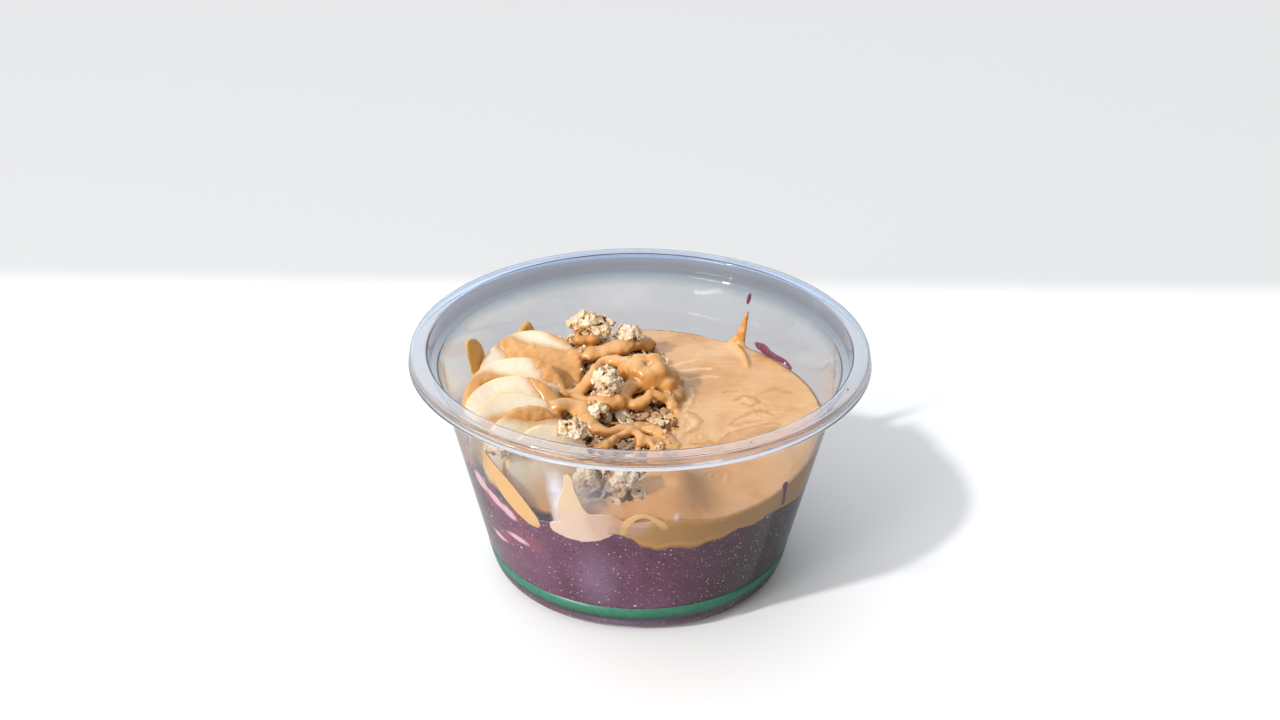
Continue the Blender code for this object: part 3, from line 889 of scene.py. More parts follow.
# ---------------------------------------------------------------------------------------------------
# Peanut butter: one smooth body.  The pool fills the right of the bowl to the wall, ropes of it lie
# over the granola, flat bands run over the banana slices, and dabs of it cling to the wall.
# The parts are closed shapes in millimetres, which a voxel remesh melts into one; the face that
# the pool presses on the wall is laid on after that.
VOXEL = 0.55 * MM
MELT_STEPS = 5
SPECK_VERTS = 120                      # separate bits with fewer vertices than this are dropped
PRESS = 0.10                           # how far the peanut butter goes into the wall's sheet
STEP_ALONG = 0.5                       # between the rings of a rope or a band
ROPE_SIDES = 12
BAND_COLUMNS = 13
BAND_BURIAL = 0.9                      # how far a band's underside lies under the ground's top
DAB_DEPTH = 1.0
POOL_BACK_LEVEL = 47.4
POOL_FALL = 6.0                        # how much lower it stands at the front wall
FALL_STARTS = -14                      # y where it starts to fall
FALL_LENGTH = 36
POOL_FLOOR = 36.5
POOL_HUB = (24.0, -22.0)
POOL_SPOKES = 220
TOP_POINTS = 26
SIDE_POINTS = 8
CREST_MIDDLE = 9.5                     # x of the soft crest in front of the granola
CREST_SPREAD_LEFT = 22.0
CREST_SPREAD_RIGHT = 8.0
CREST_STARTS = -26                     # y where it starts to rise
CREST_AT_WALL = 2.4                    # its height at the wall
CREST_RISE = 5.2                       # and how much more it has further in
CREST_WALL_RADIUS = 51.6
CREST_WALL_SLOPE = 7.5
RIPPLE_HEIGHT = 0.11
RIPPLE_LENGTH = 3.2
CREASE_HEIGHT = 0.24                   # of the creases that follow the shore
CREASE_LENGTH = 2.1
POOL_CEILING = 50                      # the pool's skin lies below this, ropes may rise above it
ROPE_FLOOR = 48.2                      # and above this, or this on the granola, it has fine lumps
GRANOLA_ROPE_FLOOR = 46
GROUND_FLOOR = 36.0
GROUND_UNKNOWN = 40.0
PRESSED_WITHIN = 0.5                   # it is pressed flat where it is this near the wall
SLICE_DAB_WITHIN = 2.6                 # the dabs behind the slices are thicker
SLICE_DAB_FLOOR = 47.6
# Deeper amber at the pool's front, and on the ropes above a height, with painted shade on their steeper sides
FRONT_AMBER = 0.45
FRONT_AMBER_STARTS = -16
ROPE_AMBER_FLOOR = 46.4
FILM_REACH = 2.4 * MM                  # of the film round the bands on the slices
LOW_SHADE_TOP = 48.5                        # and under this height the slices are darkened as painted shade
# Ripples on the pool: x, y, how far they spread
RIPPLES = ((13.0, 10.0, 5.0), (15.0, -14.0, 6.0), (31.0, 11.0, 8.0), (38.0, 2.0, 7.0),
           (24.0, -15.0, 8.0), (22.0, -31.0, 8.0), (30.0, -22.0, 7.0))
# Where the pool meets the granola, as y and x
SHORE = (
    (-53, -14), (-49, -13), (-45, -9), (-41, -3), (-36, 2), (-30, 8.5), (-20, 8.5), (-10, 8.5),
    (0, 10.0), (10, 12.0), (16, 10.5), (20, 7.5), (30, 4.5), (40, 3.0), (46, 1.0), (54, -4.0),
)
# The lower edge on the wall, as bearing and height
POOL_LOW_EDGE = (
    (-20, 41.0), (-18, 37.4), (-12, 37.8), (-10, 38.4), (-6, 38.8), (-2, 37.2), (0, 35.4), (3, 33.7),
    (6, 33.0), (8, 32.8), (10, 33.6), (13, 33.1), (18, 32.1), (21, 33.5), (27, 33.9), (32, 35.6),
    (36, 35.3), (39, 34.8), (45, 36.4), (51, 35.6), (61, 33.6), (73, 33.0), (90, 34.5), (105, 33.4),
    (122, 35.3), (140, 33.8), (158, 35.0), (174, 34.0), (181, 35.6), (186, 38.6), (190, 43.0),
    (192, 46.0),
)
# Ropes over the granola: x, y, z, half width, half height
ROPES = (
    ((-21.5, 25.6, 53.4, 2.6, 1.0), (-17.6, 27.0, 52.6, 3.0, 1.5), (-13.6, 27.0, 52.2, 3.2, 1.7),
     (-9.5, 28.6, 52.5, 3.4, 1.9), (-5.8, 29.8, 53.0, 3.0, 1.9), (-3.0, 31.4, 53.0, 2.6, 1.7),
     (-0.1, 34.4, 51.6, 2.4, 1.6), (3.6, 41.0, 49.0, 2.6, 1.4)),
    ((-23.5, 5.6, 50.6, 1.8, 0.7), (-20.5, 7.1, 49.0, 1.8, 1.0), (-18.2, 7.8, 49.0, 1.8, 1.3),
     (-16.8, 9.8, 49.8, 2.4, 1.7), (-14.5, 12.8, 51.2, 2.1, 1.6), (-13.3, 16.7, 52.0, 1.9, 1.5),
     (-12.0, 19.7, 52.6, 2.0, 1.6), (-9.4, 21.4, 52.8, 2.3, 1.7), (-5.6, 19.6, 53.4, 2.8, 2.0),
     (-2.6, 16.0, 54.2, 3.2, 2.4)),
    ((-18.5, 6.5, 48.9, 1.9, 1.3), (-16.1, 3.3, 49.0, 1.9, 1.4), (-13.6, 1.2, 50.0, 2.4, 1.8),
     (-10.7, -0.6, 50.6, 3.0, 2.3), (-8.0, -0.9, 50.6, 3.2, 2.5), (-5.4, 1.4, 50.6, 2.7, 2.2),
     (-3.9, 4.6, 51.2, 2.2, 1.9), (-1.5, 8.0, 53.0, 2.4, 2.0)),
    ((-5.2, 0.6, 49.7, 2.0, 1.6), (-1.7, 0.0, 49.7, 2.1, 1.6), (0.8, 0.9, 50.2, 2.0, 1.5),
     (2.4, 2.0, 51.0, 1.7, 1.4), (3.4, 3.9, 51.7, 1.4, 1.2), (5.0, 3.8, 51.2, 1.7, 1.3),
     (6.4, 3.0, 50.4, 1.9, 1.4), (8.0, 4.3, 50.0, 1.8, 1.4), (9.3, 3.0, 48.9, 1.9, 1.5),
     (9.9, 0.6, 47.4, 2.1, 1.4)),
    ((-25.5, -7.5, 53.0, 2.4, 0.9), (-22.8, -5.0, 52.2, 3.0, 1.3), (-19.3, -3.9, 51.4, 3.4, 1.6),
     (-16.6, -6.5, 51.0, 3.2, 1.7), (-14.7, -10.2, 50.0, 2.8, 1.6), (-12.0, -13.5, 49.4, 2.4, 1.5),
     (-8.6, -14.8, 49.0, 2.1, 1.4), (-5.1, -12.8, 48.9, 2.0, 1.4), (-1.6, -12.4, 48.8, 2.0, 1.4),
     (0.6, -9.8, 48.2, 2.2, 1.4), (5.0, -9.0, 47.4, 2.6, 1.2)),
    ((-13.2, -23.8, 49.6, 1.2, 0.9), (-10.1, -24.4, 50.0, 1.5, 1.1), (-7.6, -21.3, 50.2, 1.5, 1.1),
     (-5.1, -17.9, 50.2, 1.4, 1.1), (-1.6, -16.1, 50.2, 1.4, 1.1), (0.2, -18.5, 49.8, 1.4, 1.1),
     (0.4, -22.4, 48.6, 1.5, 1.1)),
    ((1.0, -12.8, 48.6, 1.8, 1.2), (3.6, -12.6, 48.7, 2.0, 1.3), (6.4, -14.6, 48.4, 2.0, 1.2),
     (8.4, -17.4, 47.6, 2.3, 1.2), (10.5, -21.0, 46.7, 2.8, 1.2)),
    ((1.2, -20.2, 48.9, 1.8, 1.2), (4.2, -18.6, 48.6, 2.1, 1.3), (7.0, -19.4, 47.6, 2.4, 1.2)),
    ((2.0, -25.6, 48.8, 2.2, 1.3), (5.4, -27.4, 48.2, 2.8, 1.5), (8.4, -31.0, 47.6, 3.0, 1.5),
     (10.0, -35.0, 47.2, 3.0, 1.2)),
    ((29.5, 42.0, 48.4, 0.8, 0.7), (31.5, 37.0, 48.1, 0.8, 0.6), (32.6, 32.0, 47.8, 0.7, 0.5),
     (32.8, 27.9, 47.4, 0.6, 0.5)),
)
# Bands that follow what they lie on: x, y, half width, thickness
BANDS = (
    ((-42.6, 31.4, 1.6, 0.25), (-40.4, 28.4, 2.6, 0.5), (-37.0, 25.6, 3.4, 0.7), (-33.0, 23.4, 4.4, 0.8),
     (-29.0, 21.4, 6.0, 0.9), (-25.0, 18.8, 7.2, 1.0), (-22.0, 15.0, 7.0, 1.0), (-20.4, 11.0, 5.2, 0.9),
     (-19.6, 8.0, 3.2, 0.8)),
    ((-50.6, 1.0, 2.2, 0.5), (-49.4, 6.0, 2.6, 0.6), (-47.0, 9.0, 1.9, 0.6), (-43.4, 10.0, 1.1, 0.5),
     (-39.6, 9.6, 0.9, 0.45), (-36.0, 8.4, 1.0, 0.5), (-32.6, 6.8, 1.6, 0.6), (-29.4, 4.4, 2.2, 0.7),
     (-26.6, 1.6, 2.7, 0.8), (-24.4, -1.6, 2.8, 0.9), (-22.8, -4.6, 2.6, 0.9)),
    ((-45.6, -17.4, 1.4, 0.4), (-42.4, -16.0, 2.4, 0.6), (-38.6, -15.2, 3.2, 0.7),
     (-34.4, -14.8, 3.5, 0.8), (-30.0, -14.2, 3.5, 0.9), (-26.4, -12.4, 3.4, 1.0),
     (-23.0, -9.4, 3.2, 1.0), (-20.4, -6.4, 2.6, 1.0)),
    ((-19.8, 25.6, 1.6, 0.6), (-18.8, 22.4, 2.8, 0.9), (-18.6, 19.0, 2.8, 0.9),
     (-18.4, 16.0, 2.8, 1.0), (-17.8, 12.6, 2.6, 1.0), (-18.2, 9.4, 2.0, 0.9)),
    ((-31.5, 36.5, 1.6, 0.6), (-27.6, 34.8, 2.8, 0.9), (-23.6, 33.0, 3.6, 1.2), (-19.6, 31.8, 3.6, 1.4),
     (-15.6, 31.6, 3.0, 1.4), (-12.0, 30.6, 2.4, 1.2)),
)
# Lumps under a skin of peanut butter: middle, then half size along X, Y and Z
LUMPS = (
    ((2.6, 12.2, 52.6), (6.6, 6.4, 4.6)), ((-2.6, 13.8, 53.4), (4.2, 4.4, 3.6)),
    ((-0.6, 10.8, 55.4), (3.2, 3.0, 2.8)), ((2.4, 8.6, 54.6), (3.6, 2.6, 2.6)),
    ((5.6, 10.6, 55.2), (3.2, 3.2, 2.8)), ((4.4, 14.6, 55.8), (3.6, 3.0, 2.9)),
    ((0.4, 14.8, 56.0), (3.4, 2.8, 2.7)), ((8.0, 8.6, 51.6), (3.0, 2.6, 2.6)),
    ((8.2, 13.8, 51.0), (4.0, 4.6, 3.6)), ((9.6, 12.2, 48.2), (3.2, 3.8, 2.6)),
    ((-9.6, 0.2, 50.4), (3.4, 3.0, 2.2)), ((-17.0, -4.6, 51.2), (3.8, 3.0, 2.0)),
    ((-7.0, 30.2, 52.6), (4.0, 3.2, 2.4)), ((-13.0, 28.4, 51.8), (4.2, 2.8, 2.0)),
    ((7.4, -16.4, 46.8), (3.6, 3.0, 1.6)), ((7.6, -23.6, 46.4), (3.0, 3.4, 1.8)),
    ((10.4, 9.0, 48.4), (3.0, 4.4, 2.6)), ((9.6, 17.6, 47.6), (3.8, 4.6, 2.6)),
    ((8.8, 23.4, 46.8), (3.4, 4.4, 1.8)), ((7.0, 29.0, 46.6), (3.2, 4.0, 1.8)),
    ((-2.2, 34.6, 52.4), (3.4, 3.0, 2.4)), ((1.2, 36.2, 50.8), (3.2, 3.4, 2.6)),
    ((-18.2, 33.4, 53.0), (2.2, 1.5, 1.4)),
    ((-14.8, 34.2, 53.2), (2.8, 1.6, 1.5)), ((5.0, -23.0, 47.6), (2.4, 2.2, 1.6)),
    ((-18.0, -42.0, 40.4), (5.5, 4.5, 5.4)), ((-11.0, -45.0, 41.0), (6.0, 4.0, 5.0)),
)
DIMPLE = Vector((2.4, 11.6, 57.0))
DIMPLE_REACH = 2.4
DIMPLE_DEPTH = 0.9
# Streaks on the pool's top: darker ones where oil has parted (shade above 0), and pale lines that are painted
# highlights (below 0): shade, then x, y and half width along the streak
STREAKS_AND_HIGHLIGHTS = (
    (0.6, ((23, -16, 0.6), (29, -12, 1.8), (34, -10.5, 1.8), (39.5, -8.5, 0.6))),
    (0.9, ((23, -15.5, 0.6), (27, -11, 0.6), (32, -8.5, 0.6), (37, -6.5, 0.6), (40.5, -7, 0.6))),
    (0.9, ((39, -9.5, 0.6), (33.5, -12, 0.6), (28, -15, 0.6))),
    (0.8, ((26, -7, 0.8), (29.5, -2, 0.6), (35, 1, 0.7), (39, -1.5, 0.5))),
    (0.6, ((27.5, -7.5, 0.9), (31, -5.5, 1.0), (35, -4.5, 0.6))),
    (0.9, ((28, 7.5, 0.5), (31, 10, 0.6), (35, 7.5, 0.6), (32.5, 4, 0.5), (30, 5, 0.5))),
    (0.7, ((14.5, -18, 0.8), (22, -17, 0.9), (29.5, -14, 0.5))),
    (-0.8, ((9.5, 27.5, 0.6), (13, 30.5, 0.7), (16.5, 32.5, 0.5))),
    (-0.9, ((10, 24.5, 0.6), (15, 26.5, 0.7), (21.5, 27, 0.6))),
    (-0.6, ((14, 20, 0.6), (19, 22, 0.7), (23.5, 22.5, 0.5))),
    (-0.7, ((13, 17, 0.5), (15.5, 13, 0.7), (14, 6, 0.6), (12.5, 4, 0.5))),
    (0.6, ((14.5, 16.5, 0.5), (17, 12, 0.6), (15.5, 5.5, 0.5))),
    (0.8, ((14.5, 0.5, 0.5), (17.5, -4, 0.7), (16.5, -10, 0.7), (13, -12, 0.6))),
    (-0.7, ((13.5, -1.5, 0.5), (15.5, -6, 0.7), (13.5, -10.5, 0.5))),
    (0.7, ((24.5, 12, 0.5), (26.5, 13, 0.6), (29, 13, 0.5))),
    (0.5, ((36, 12, 0.5), (40, 14.5, 1.2), (45, 12, 0.6))),
)
# Dabs on the wall: bearing, height, half width
WALL_DABS = (
    # the spike on the back wall and the drop below it
    ((145.2, 46.4, 3.6), (144.8, 48.6, 2.4), (144.3, 51.0, 1.7), (143.9, 54.0, 1.2), (143.5, 57.0, 0.7),
     (143.3, 58.4, 0.4)),
    # the leaf-shaped dab and the small one behind the banana slices
    ((-112.0, 58.4, 0.8), (-113.5, 56.4, 2.8), (-115.0, 53.6, 4.6), (-115.0, 50.6, 4.6),
     (-114.0, 48.6, 3.0)),
    ((-141.4, 52.0, 1.4), (-140.4, 54.2, 1.2), (-138.8, 53.6, 1.5), (-137.0, 52.0, 1.4)),
    # the strip that runs down to the right on the front left of the wall
    ((-49.6, 54.0, 1.4), (-47.6, 50.6, 3.0), (-44.8, 47.4, 4.0), (-42.0, 44.4, 4.4), (-39.4, 41.8, 4.2),
     (-36.8, 39.4, 3.6), (-34.6, 37.6, 2.8), (-33.2, 36.4, 1.8)),
    # the dab like a bell on the front left
    ((-19.4, 57.0, 1.5), (-19.6, 53.0, 1.9), (-19.8, 49.4, 3.0), (-19.6, 45.6, 4.2), (-18.8, 42.0, 5.2),
     (-17.4, 39.6, 5.8)),
    ((-25.4, 37.6, 2.4), (-20.0, 37.0, 3.0), (-14.0, 37.6, 2.8), (-10.0, 38.8, 2.0)),
    # the film under the granola's front edge
    ((-18.0, 39.8, 3.0), (-15.0, 40.8, 3.8), (-11.5, 41.6, 4.2), (-8.0, 42.4, 3.6)),
    # the smear at the far left of the wall, coloured brown as painted shade
    ((-68.0, 54.5, 1.4), (-66.5, 50.5, 2.2), (-63.5, 46.5, 2.0), (-61.5, 44.0, 1.0)),
    # the curl on the front of the wall
    ((-4.6, 39.4, 0.95), (-3.8, 42.2, 0.9), (-1.6, 44.7, 0.95), (1.4, 45.8, 0.95), (4.4, 44.8, 0.9),
     (6.6, 42.8, 0.9), (7.6, 41.6, 0.8)),
)
# Its colour where it is pressed thin on the wall: bearing, height, half spans, colour.  The browner ones
# under the granola's front edge and the brown at the far left are painted shade; the pinkish pale low on the
# bell is painted lighter, against the darker puree behind it.
WALL_COLOURS = (
    (-41.0, 44.0, 10.0, 14.0, "#EFBB76"),
    (-20.0, 50.0, 8.0, 9.0, "#F2D3AC"),
    # painted light: lighter low on the bell
    (-19.0, 38.5, 11.0, 5.5, "#F0CFB8"),
    # painted shade: browner under the granola's front edge
    (-10.5, 43.0, 4.5, 7.0, "#E2BCA6"),
    (-2.0, 44.6, 6.0, 5.5, "#D8A886"),
    (-114.0, 53.0, 12.0, 9.0, "#E8B566"),
    (-139.0, 54.0, 6.0, 5.0, "#E8B566"),
    # painted shade: brown at the far left
    (-65.0, 49.0, 7.0, 9.0, "#A8735A"),
)
WALL_COLOUR = "#CC9550"
CURL_COLOUR = "#EEC07A"


def through(points, spacing):
    """Evenly set points along a smooth line through the given ones, with every column carried along."""
    given = np.array(points, float)
    ends = np.vstack([2 * given[0] - given[1], given, 2 * given[-1] - given[-2]])
    line = []
    for a, b, c, d in zip(ends, ends[1:], ends[2:], ends[3:]):
        steps = max(1, int(np.linalg.norm((c - b)[:3]) / spacing))
        for t in np.arange(steps) / steps:
            line.append(0.5 * (2 * b + (c - a) * t + (2 * a - 5 * b + 4 * c - d) * t * t
                               + (3 * b - a - 3 * c + d) * t ** 3))
    line.append(given[-1])
    return np.array(line)


curl_line = through(WALL_DABS[-1], 0.4)
streak_and_highlight_points = np.array([
    (*spot, shade) for shade, line in STREAKS_AND_HIGHLIGHTS for spot in through(line, 0.4)])


def wall_colour(degrees, height):
    """Colour and strength of the peanut butter's tint at a place on the wall, with its painted shade and
    painted light.
    """
    colour = np.array(linear(WALL_COLOUR))
    for middle, at_height, span, rise, tint in WALL_COLOURS:
        away = ((degrees - middle) / span) ** 2 + ((height - at_height) / rise) ** 2
        share = min(1.0, 1.4 * math.exp(-away * away * 0.7))
        colour = colour * (1 - share) + np.array(linear(tint)) * share
    away = np.hypot((curl_line[:, 0] - degrees) * 0.85, curl_line[:, 1] - height).min()
    share = clamped((1.05 - away) / 0.35)
    return colour * (1 - share) + np.array(linear(CURL_COLOUR)) * share


def streak_and_highlight_at(x, y):
    """How much the pool's dark streaks darken it, up to 1, and its pale painted highlights lighten it, down
    to -1, at a place.
    """
    x += 0.7 * noise.noise(Vector((x, y, 1)) / 2.6)
    y += 0.7 * noise.noise(Vector((x, y, 6)) / 2.6)
    near = np.hypot(streak_and_highlight_points[:, 0] - x, streak_and_highlight_points[:, 1] - y) / streak_and_highlight_points[:, 2]
    best = int(near.argmin())
    return eased(clamped(1.5 - near[best])) * streak_and_highlight_points[best, 3]


def loft(bm, rings):
    """A closed tube through rings of points given in millimetres."""
    rows = [[bm.verts.new(Vector(p) * MM) for p in ring] for ring in rings]
    for a, b in zip(rows, rows[1:]):
        for i in range(len(a)):
            j = (i + 1) % len(a)
            bm.faces.new((a[i], a[j], b[j], b[i]))
    bm.faces.new(rows[0][::-1])
    bm.faces.new(rows[-1])


def rounded_end(index, count, reach):
    """1 along a line, falling to nearly 0 over its last points."""
    nearest = min(index, count - 1 - index) / reach
    return 1.0 if nearest >= 1 else max(0.15, math.sqrt(1 - (1 - nearest) ** 2))


def way_at(line, index):
    return line[min(index + 1, len(line) - 1)] - line[max(index - 1, 0)]


def add_rope(bm, points):
    line = through(points, STEP_ALONG)
    rings = []
    for i, (x, y, z, half_width, half_height) in enumerate(line):
        way = way_at(line, i)
        side = Vector((-way[1], way[0], 0)).normalized()
        over = side.cross(Vector(way[:3]).normalized())
        over = over if over.z > 0 else -over
        spot = Vector((x, y, z))
        swell = 1 + 0.34 * noise.noise(spot * 0.33) + 0.16 * noise.noise(spot * 0.9)
        taper = rounded_end(i, len(line), 3) * swell
        rings.append([spot + side * (half_width * taper * math.cos(a))
                      + over * (half_height * taper * math.sin(a))
                      for a in np.linspace(0, 2 * math.pi, ROPE_SIDES, endpoint=False)])
    loft(bm, rings)


def add_band(bm, points, ground):
    """A flat band that takes the height of the ground under each of its points."""
    line = through(points, STEP_ALONG)
    across = np.linspace(-1, 1, BAND_COLUMNS)
    heights = np.zeros((len(line), len(across)))
    spots = []
    for i, (x, y, half_width, thickness) in enumerate(line):
        way = way_at(line, i)
        side = Vector((-way[1], way[0])).normalized()
        reach = half_width * rounded_end(i, len(line), 3) * (1 + 0.2 * noise.noise(Vector((x, y, 5)) * 0.3))
        spots.append([Vector((x, y)) + side * (reach * s) for s in across])
        heights[i] = [ground(spot.x, spot.y) for spot in spots[-1]]
    for _ in range(3):
        padded = np.pad(heights, 1, mode="edge")
        near = (padded[:-2, 1:-1] + padded[2:, 1:-1] + padded[1:-1, :-2] + padded[1:-1, 2:]) / 4
        heights = np.maximum(heights * 0.5 + near * 0.5, heights - 0.15)
    rings = []
    for i, row in enumerate(spots):
        thickness = line[i][3] * rounded_end(i, len(line), 4)
        top = [(p.x, p.y, heights[i, j] + thickness * math.sqrt(max(0.0, 1 - across[j] ** 2)))
               for j, p in enumerate(row)]
        under = [(p.x, p.y, heights[i, j] - BAND_BURIAL) for j, p in enumerate(row)]
        rings.append(top + under[::-1])
    loft(bm, rings)


def add_lump(bm, middle, sizes, turn=None):
    """An ellipsoid, turned to its own axes if they are given."""
    place = Matrix.Translation(Vector(middle) * MM)
    if turn is not None:
        place = place @ turn.to_4x4()
    bmesh.ops.create_icosphere(bm, subdivisions=3, radius=MM,
                               matrix=place @ Matrix.Diagonal((*sizes, 1.0)))


def add_wall_dab(bm, points, depth):
    for degrees, height, half_width in through(points, 0.45):
        middle = on_wall(degrees, height * MM) / MM
        outward = Vector((middle.x, middle.y, 0)).normalized()
        up_wall = Vector((outward.x * WALL_LEAN, outward.y * WALL_LEAN, 1)).normalized()
        along = up_wall.cross(outward).normalized()
        turn = Matrix((along, up_wall, along.cross(up_wall))).transposed()
        add_lump(bm, middle, (half_width, half_width, min(depth, half_width * 1.2)), turn)


def pool_level(x, y):
    """The height of the pool's top, in millimetres."""
    fall = eased(clamped((FALL_STARTS - y) / FALL_LENGTH))
    inward = eased(clamped((CREST_WALL_RADIUS - math.hypot(x, y)) / CREST_WALL_SLOPE))
    spread = CREST_SPREAD_RIGHT if x > CREST_MIDDLE else CREST_SPREAD_LEFT
    crest = math.exp(-((x - CREST_MIDDLE) / spread) ** 2) * clamped((CREST_STARTS - y) / 10)
    swell = 0.35 * noise.noise(Vector((x, y, 0)) * 0.07)
    return POOL_BACK_LEVEL - POOL_FALL * fall + crest * (CREST_AT_WALL + CREST_RISE * inward) + swell


def shore(y):
    """Where the pool's edge on the granola lies at a depth into the bowl."""
    wander = 1.8 * noise.noise(Vector((0, y * 0.16, 3))) + 0.9 * noise.noise(Vector((0, y * 0.5, 8)))
    return read_off(SHORE, y) + wander


def add_pool(bm):
    hub_x, hub_y = POOL_HUB
    spokes = []
    for spoke in range(POOL_SPOKES):
        angle = 2 * math.pi * spoke / POOL_SPOKES
        reach = 1.0
        while True:
            x = hub_x + reach * math.cos(angle)
            y = hub_y + reach * math.sin(angle)
            at_wall = math.hypot(x, y) >= wall_face(pool_level(x, y) * MM) / MM + PRESS
            if at_wall or x < shore(y):
                break
            reach += 0.1
        top = [(hub_x + (x - hub_x) * share, hub_y + (y - hub_y) * share)
               for share in np.linspace(0.08, 1, TOP_POINTS)]
        column = [(px, py, pool_level(px, py)) for px, py in top]
        brim = column[-1][2]
        if at_wall:
            degrees = bearing(x, y) % 360
            degrees = degrees - 360 if degrees > POOL_LOW_EDGE[-1][0] else degrees
            low_edge = read_off(POOL_LOW_EDGE, degrees) + 0.35 * noise.noise(Vector((degrees / 2.2, 0, 9)))
            low_edge = min(low_edge + 1.6, brim - 1.0)
        for share in np.linspace(0.12, 1, SIDE_POINTS):
            if at_wall:
                height = brim + (low_edge - brim) * share
                column.append(tuple(on_wall(degrees, height * MM, -PRESS * MM) / MM))
            else:
                column.append((x, y, brim + (POOL_FLOOR - brim) * share))
        column.append((hub_x + (x - hub_x) * 0.9, hub_y + (y - hub_y) * 0.9, POOL_FLOOR))
        spokes.append(column)
    loft(bm, list(zip(*spokes)))


def add_wall_skin(bm):
    """The pool's outer face, pressed flat on the wall, with its exact ragged lower edge."""
    rings = []
    for degrees in np.arange(-9.0, POOL_LOW_EDGE[-1][0] - 1.0, 0.4):
        low_edge = read_off(POOL_LOW_EDGE, degrees)
        low_edge += 0.45 * noise.noise(Vector((degrees / 2.4, 0, 9)))
        low_edge += 0.25 * noise.noise(Vector((degrees / 0.9, 0, 2)))
        spot = on_wall(degrees, 44 * MM) / MM
        top_edge = max(low_edge + 0.6, pool_level(spot.x, spot.y) - 1.0)
        ring = [on_wall(degrees, (top_edge + (low_edge - top_edge) * share) * MM, -(PRESS + 0.01) * MM)
                for share in np.linspace(0, 1, 9)]
        ring.append(on_wall(degrees, (low_edge + 0.25) * MM, 0.35 * MM))
        ring.append(on_wall(degrees, top_edge * MM, 0.5 * MM))
        rings.append([p / MM for p in ring])
    loft(bm, rings)


def drop_specks(bm):
    """Removes the separate bits with few vertices."""
    left = set(bm.verts)
    specks = []
    while left:
        part = [left.pop()]
        for vert in part:
            for edge in vert.link_edges:
                other = edge.other_vert(vert)
                if other in left:
                    left.remove(other)
                    part.append(other)
        if len(part) < SPECK_VERTS:
            specks += part
    bmesh.ops.delete(bm, geom=specks, context="VERTS")


def tops_of(pieces):
    """A function that says where a straight drop at x and y, in millimetres, meets the pieces."""
    verts = []
    faces = []
    for piece in pieces:
        start = len(verts)
        verts += [v.co.copy() for v in piece.data.vertices]
        faces += [[start + i for i in face.vertices] for face in piece.data.polygons]
    tree = BVHTree.FromPolygons(verts, faces)
    return lambda x, y: tree.ray_cast(Vector((x * MM, y * MM, 75 * MM)), Vector((0, 0, -1)))[0]


toppings = slices + [heap] + clusters
drop_to_toppings = tops_of(toppings)


def ground_height(x, y):
    """The height of whatever lies highest at a place, in millimetres."""
    found = drop_to_toppings(x, y)
    return GROUND_UNKNOWN if found is None else max(GROUND_FLOOR, found.z / MM)


def set_radius(vert, radius):
    """Moves a vertex straight out or in to a radius from the bowl's axis."""
    scale = radius / math.hypot(vert.co.x, vert.co.y)
    vert.co.x *= scale
    vert.co.y *= scale


def pool_ripple(x, y):
    """How much the pool's skin rises in rings at places and in creases along the shore."""
    lift = 0.0
    for spot_x, spot_y, spread in RIPPLES:
        away = math.hypot(x - spot_x, (y - spot_y) * 1.3)
        if away < 2 * spread:
            warp = 1.6 * noise.noise(Vector((x, y, 2)) * 0.22)
            rings = math.cos(2 * math.pi * (away / RIPPLE_LENGTH + 1.6 * warp))
            lift += RIPPLE_HEIGHT * rings * math.exp(-(away / spread) ** 2)
    lift += 0.10 * noise.noise(Vector((x * 0.25, y * 0.7, 0)))
    from_shore = x - shore(y)
    if from_shore < 7 and -32 < y < 26:
        warp = 1.2 * noise.noise(Vector((x, y, 5)) * 0.3)
        creases = math.cos(2 * math.pi * (from_shore / CREASE_LENGTH + warp))
        lift += CREASE_HEIGHT * creases * math.exp(-from_shore / 3)
    return lift


def amber_and_painted_shade_at(x, y, z, facing_up):
    """How much deeper amber it gets: a little at the front of the pool, and on the ropes, most on their
    steeper sides as painted shade.
    """
    in_front = FRONT_AMBER * clamped((FRONT_AMBER_STARTS - y) / 10) if x > -4 else 0.0
    on_ropes = clamped((z - ROPE_AMBER_FLOOR) / 3) * (0.2 + clamped(0.8 - facing_up, 0.0, 0.6))
    return max(in_front, on_ropes)


bm = bmesh.new()
add_pool(bm)
for rope in ROPES:
    add_rope(bm, rope)
for band in BANDS:
    add_band(bm, band, ground_height)
for middle, sizes in LUMPS:
    add_lump(bm, middle, sizes)
for dab in WALL_DABS:
    add_wall_dab(bm, dab, DAB_DEPTH)
butter = in_scene("peanut_butter_body", mesh_from(bm, "peanut_butter"))
remeshed(butter, VOXEL, MELT_STEPS)
bm = bmesh.new()
bm.from_mesh(butter.data)
drop_specks(bm)
add_wall_skin(bm)
bmesh.ops.recalc_face_normals(bm, faces=bm.faces)
bm.to_mesh(butter.data)
bm.free()

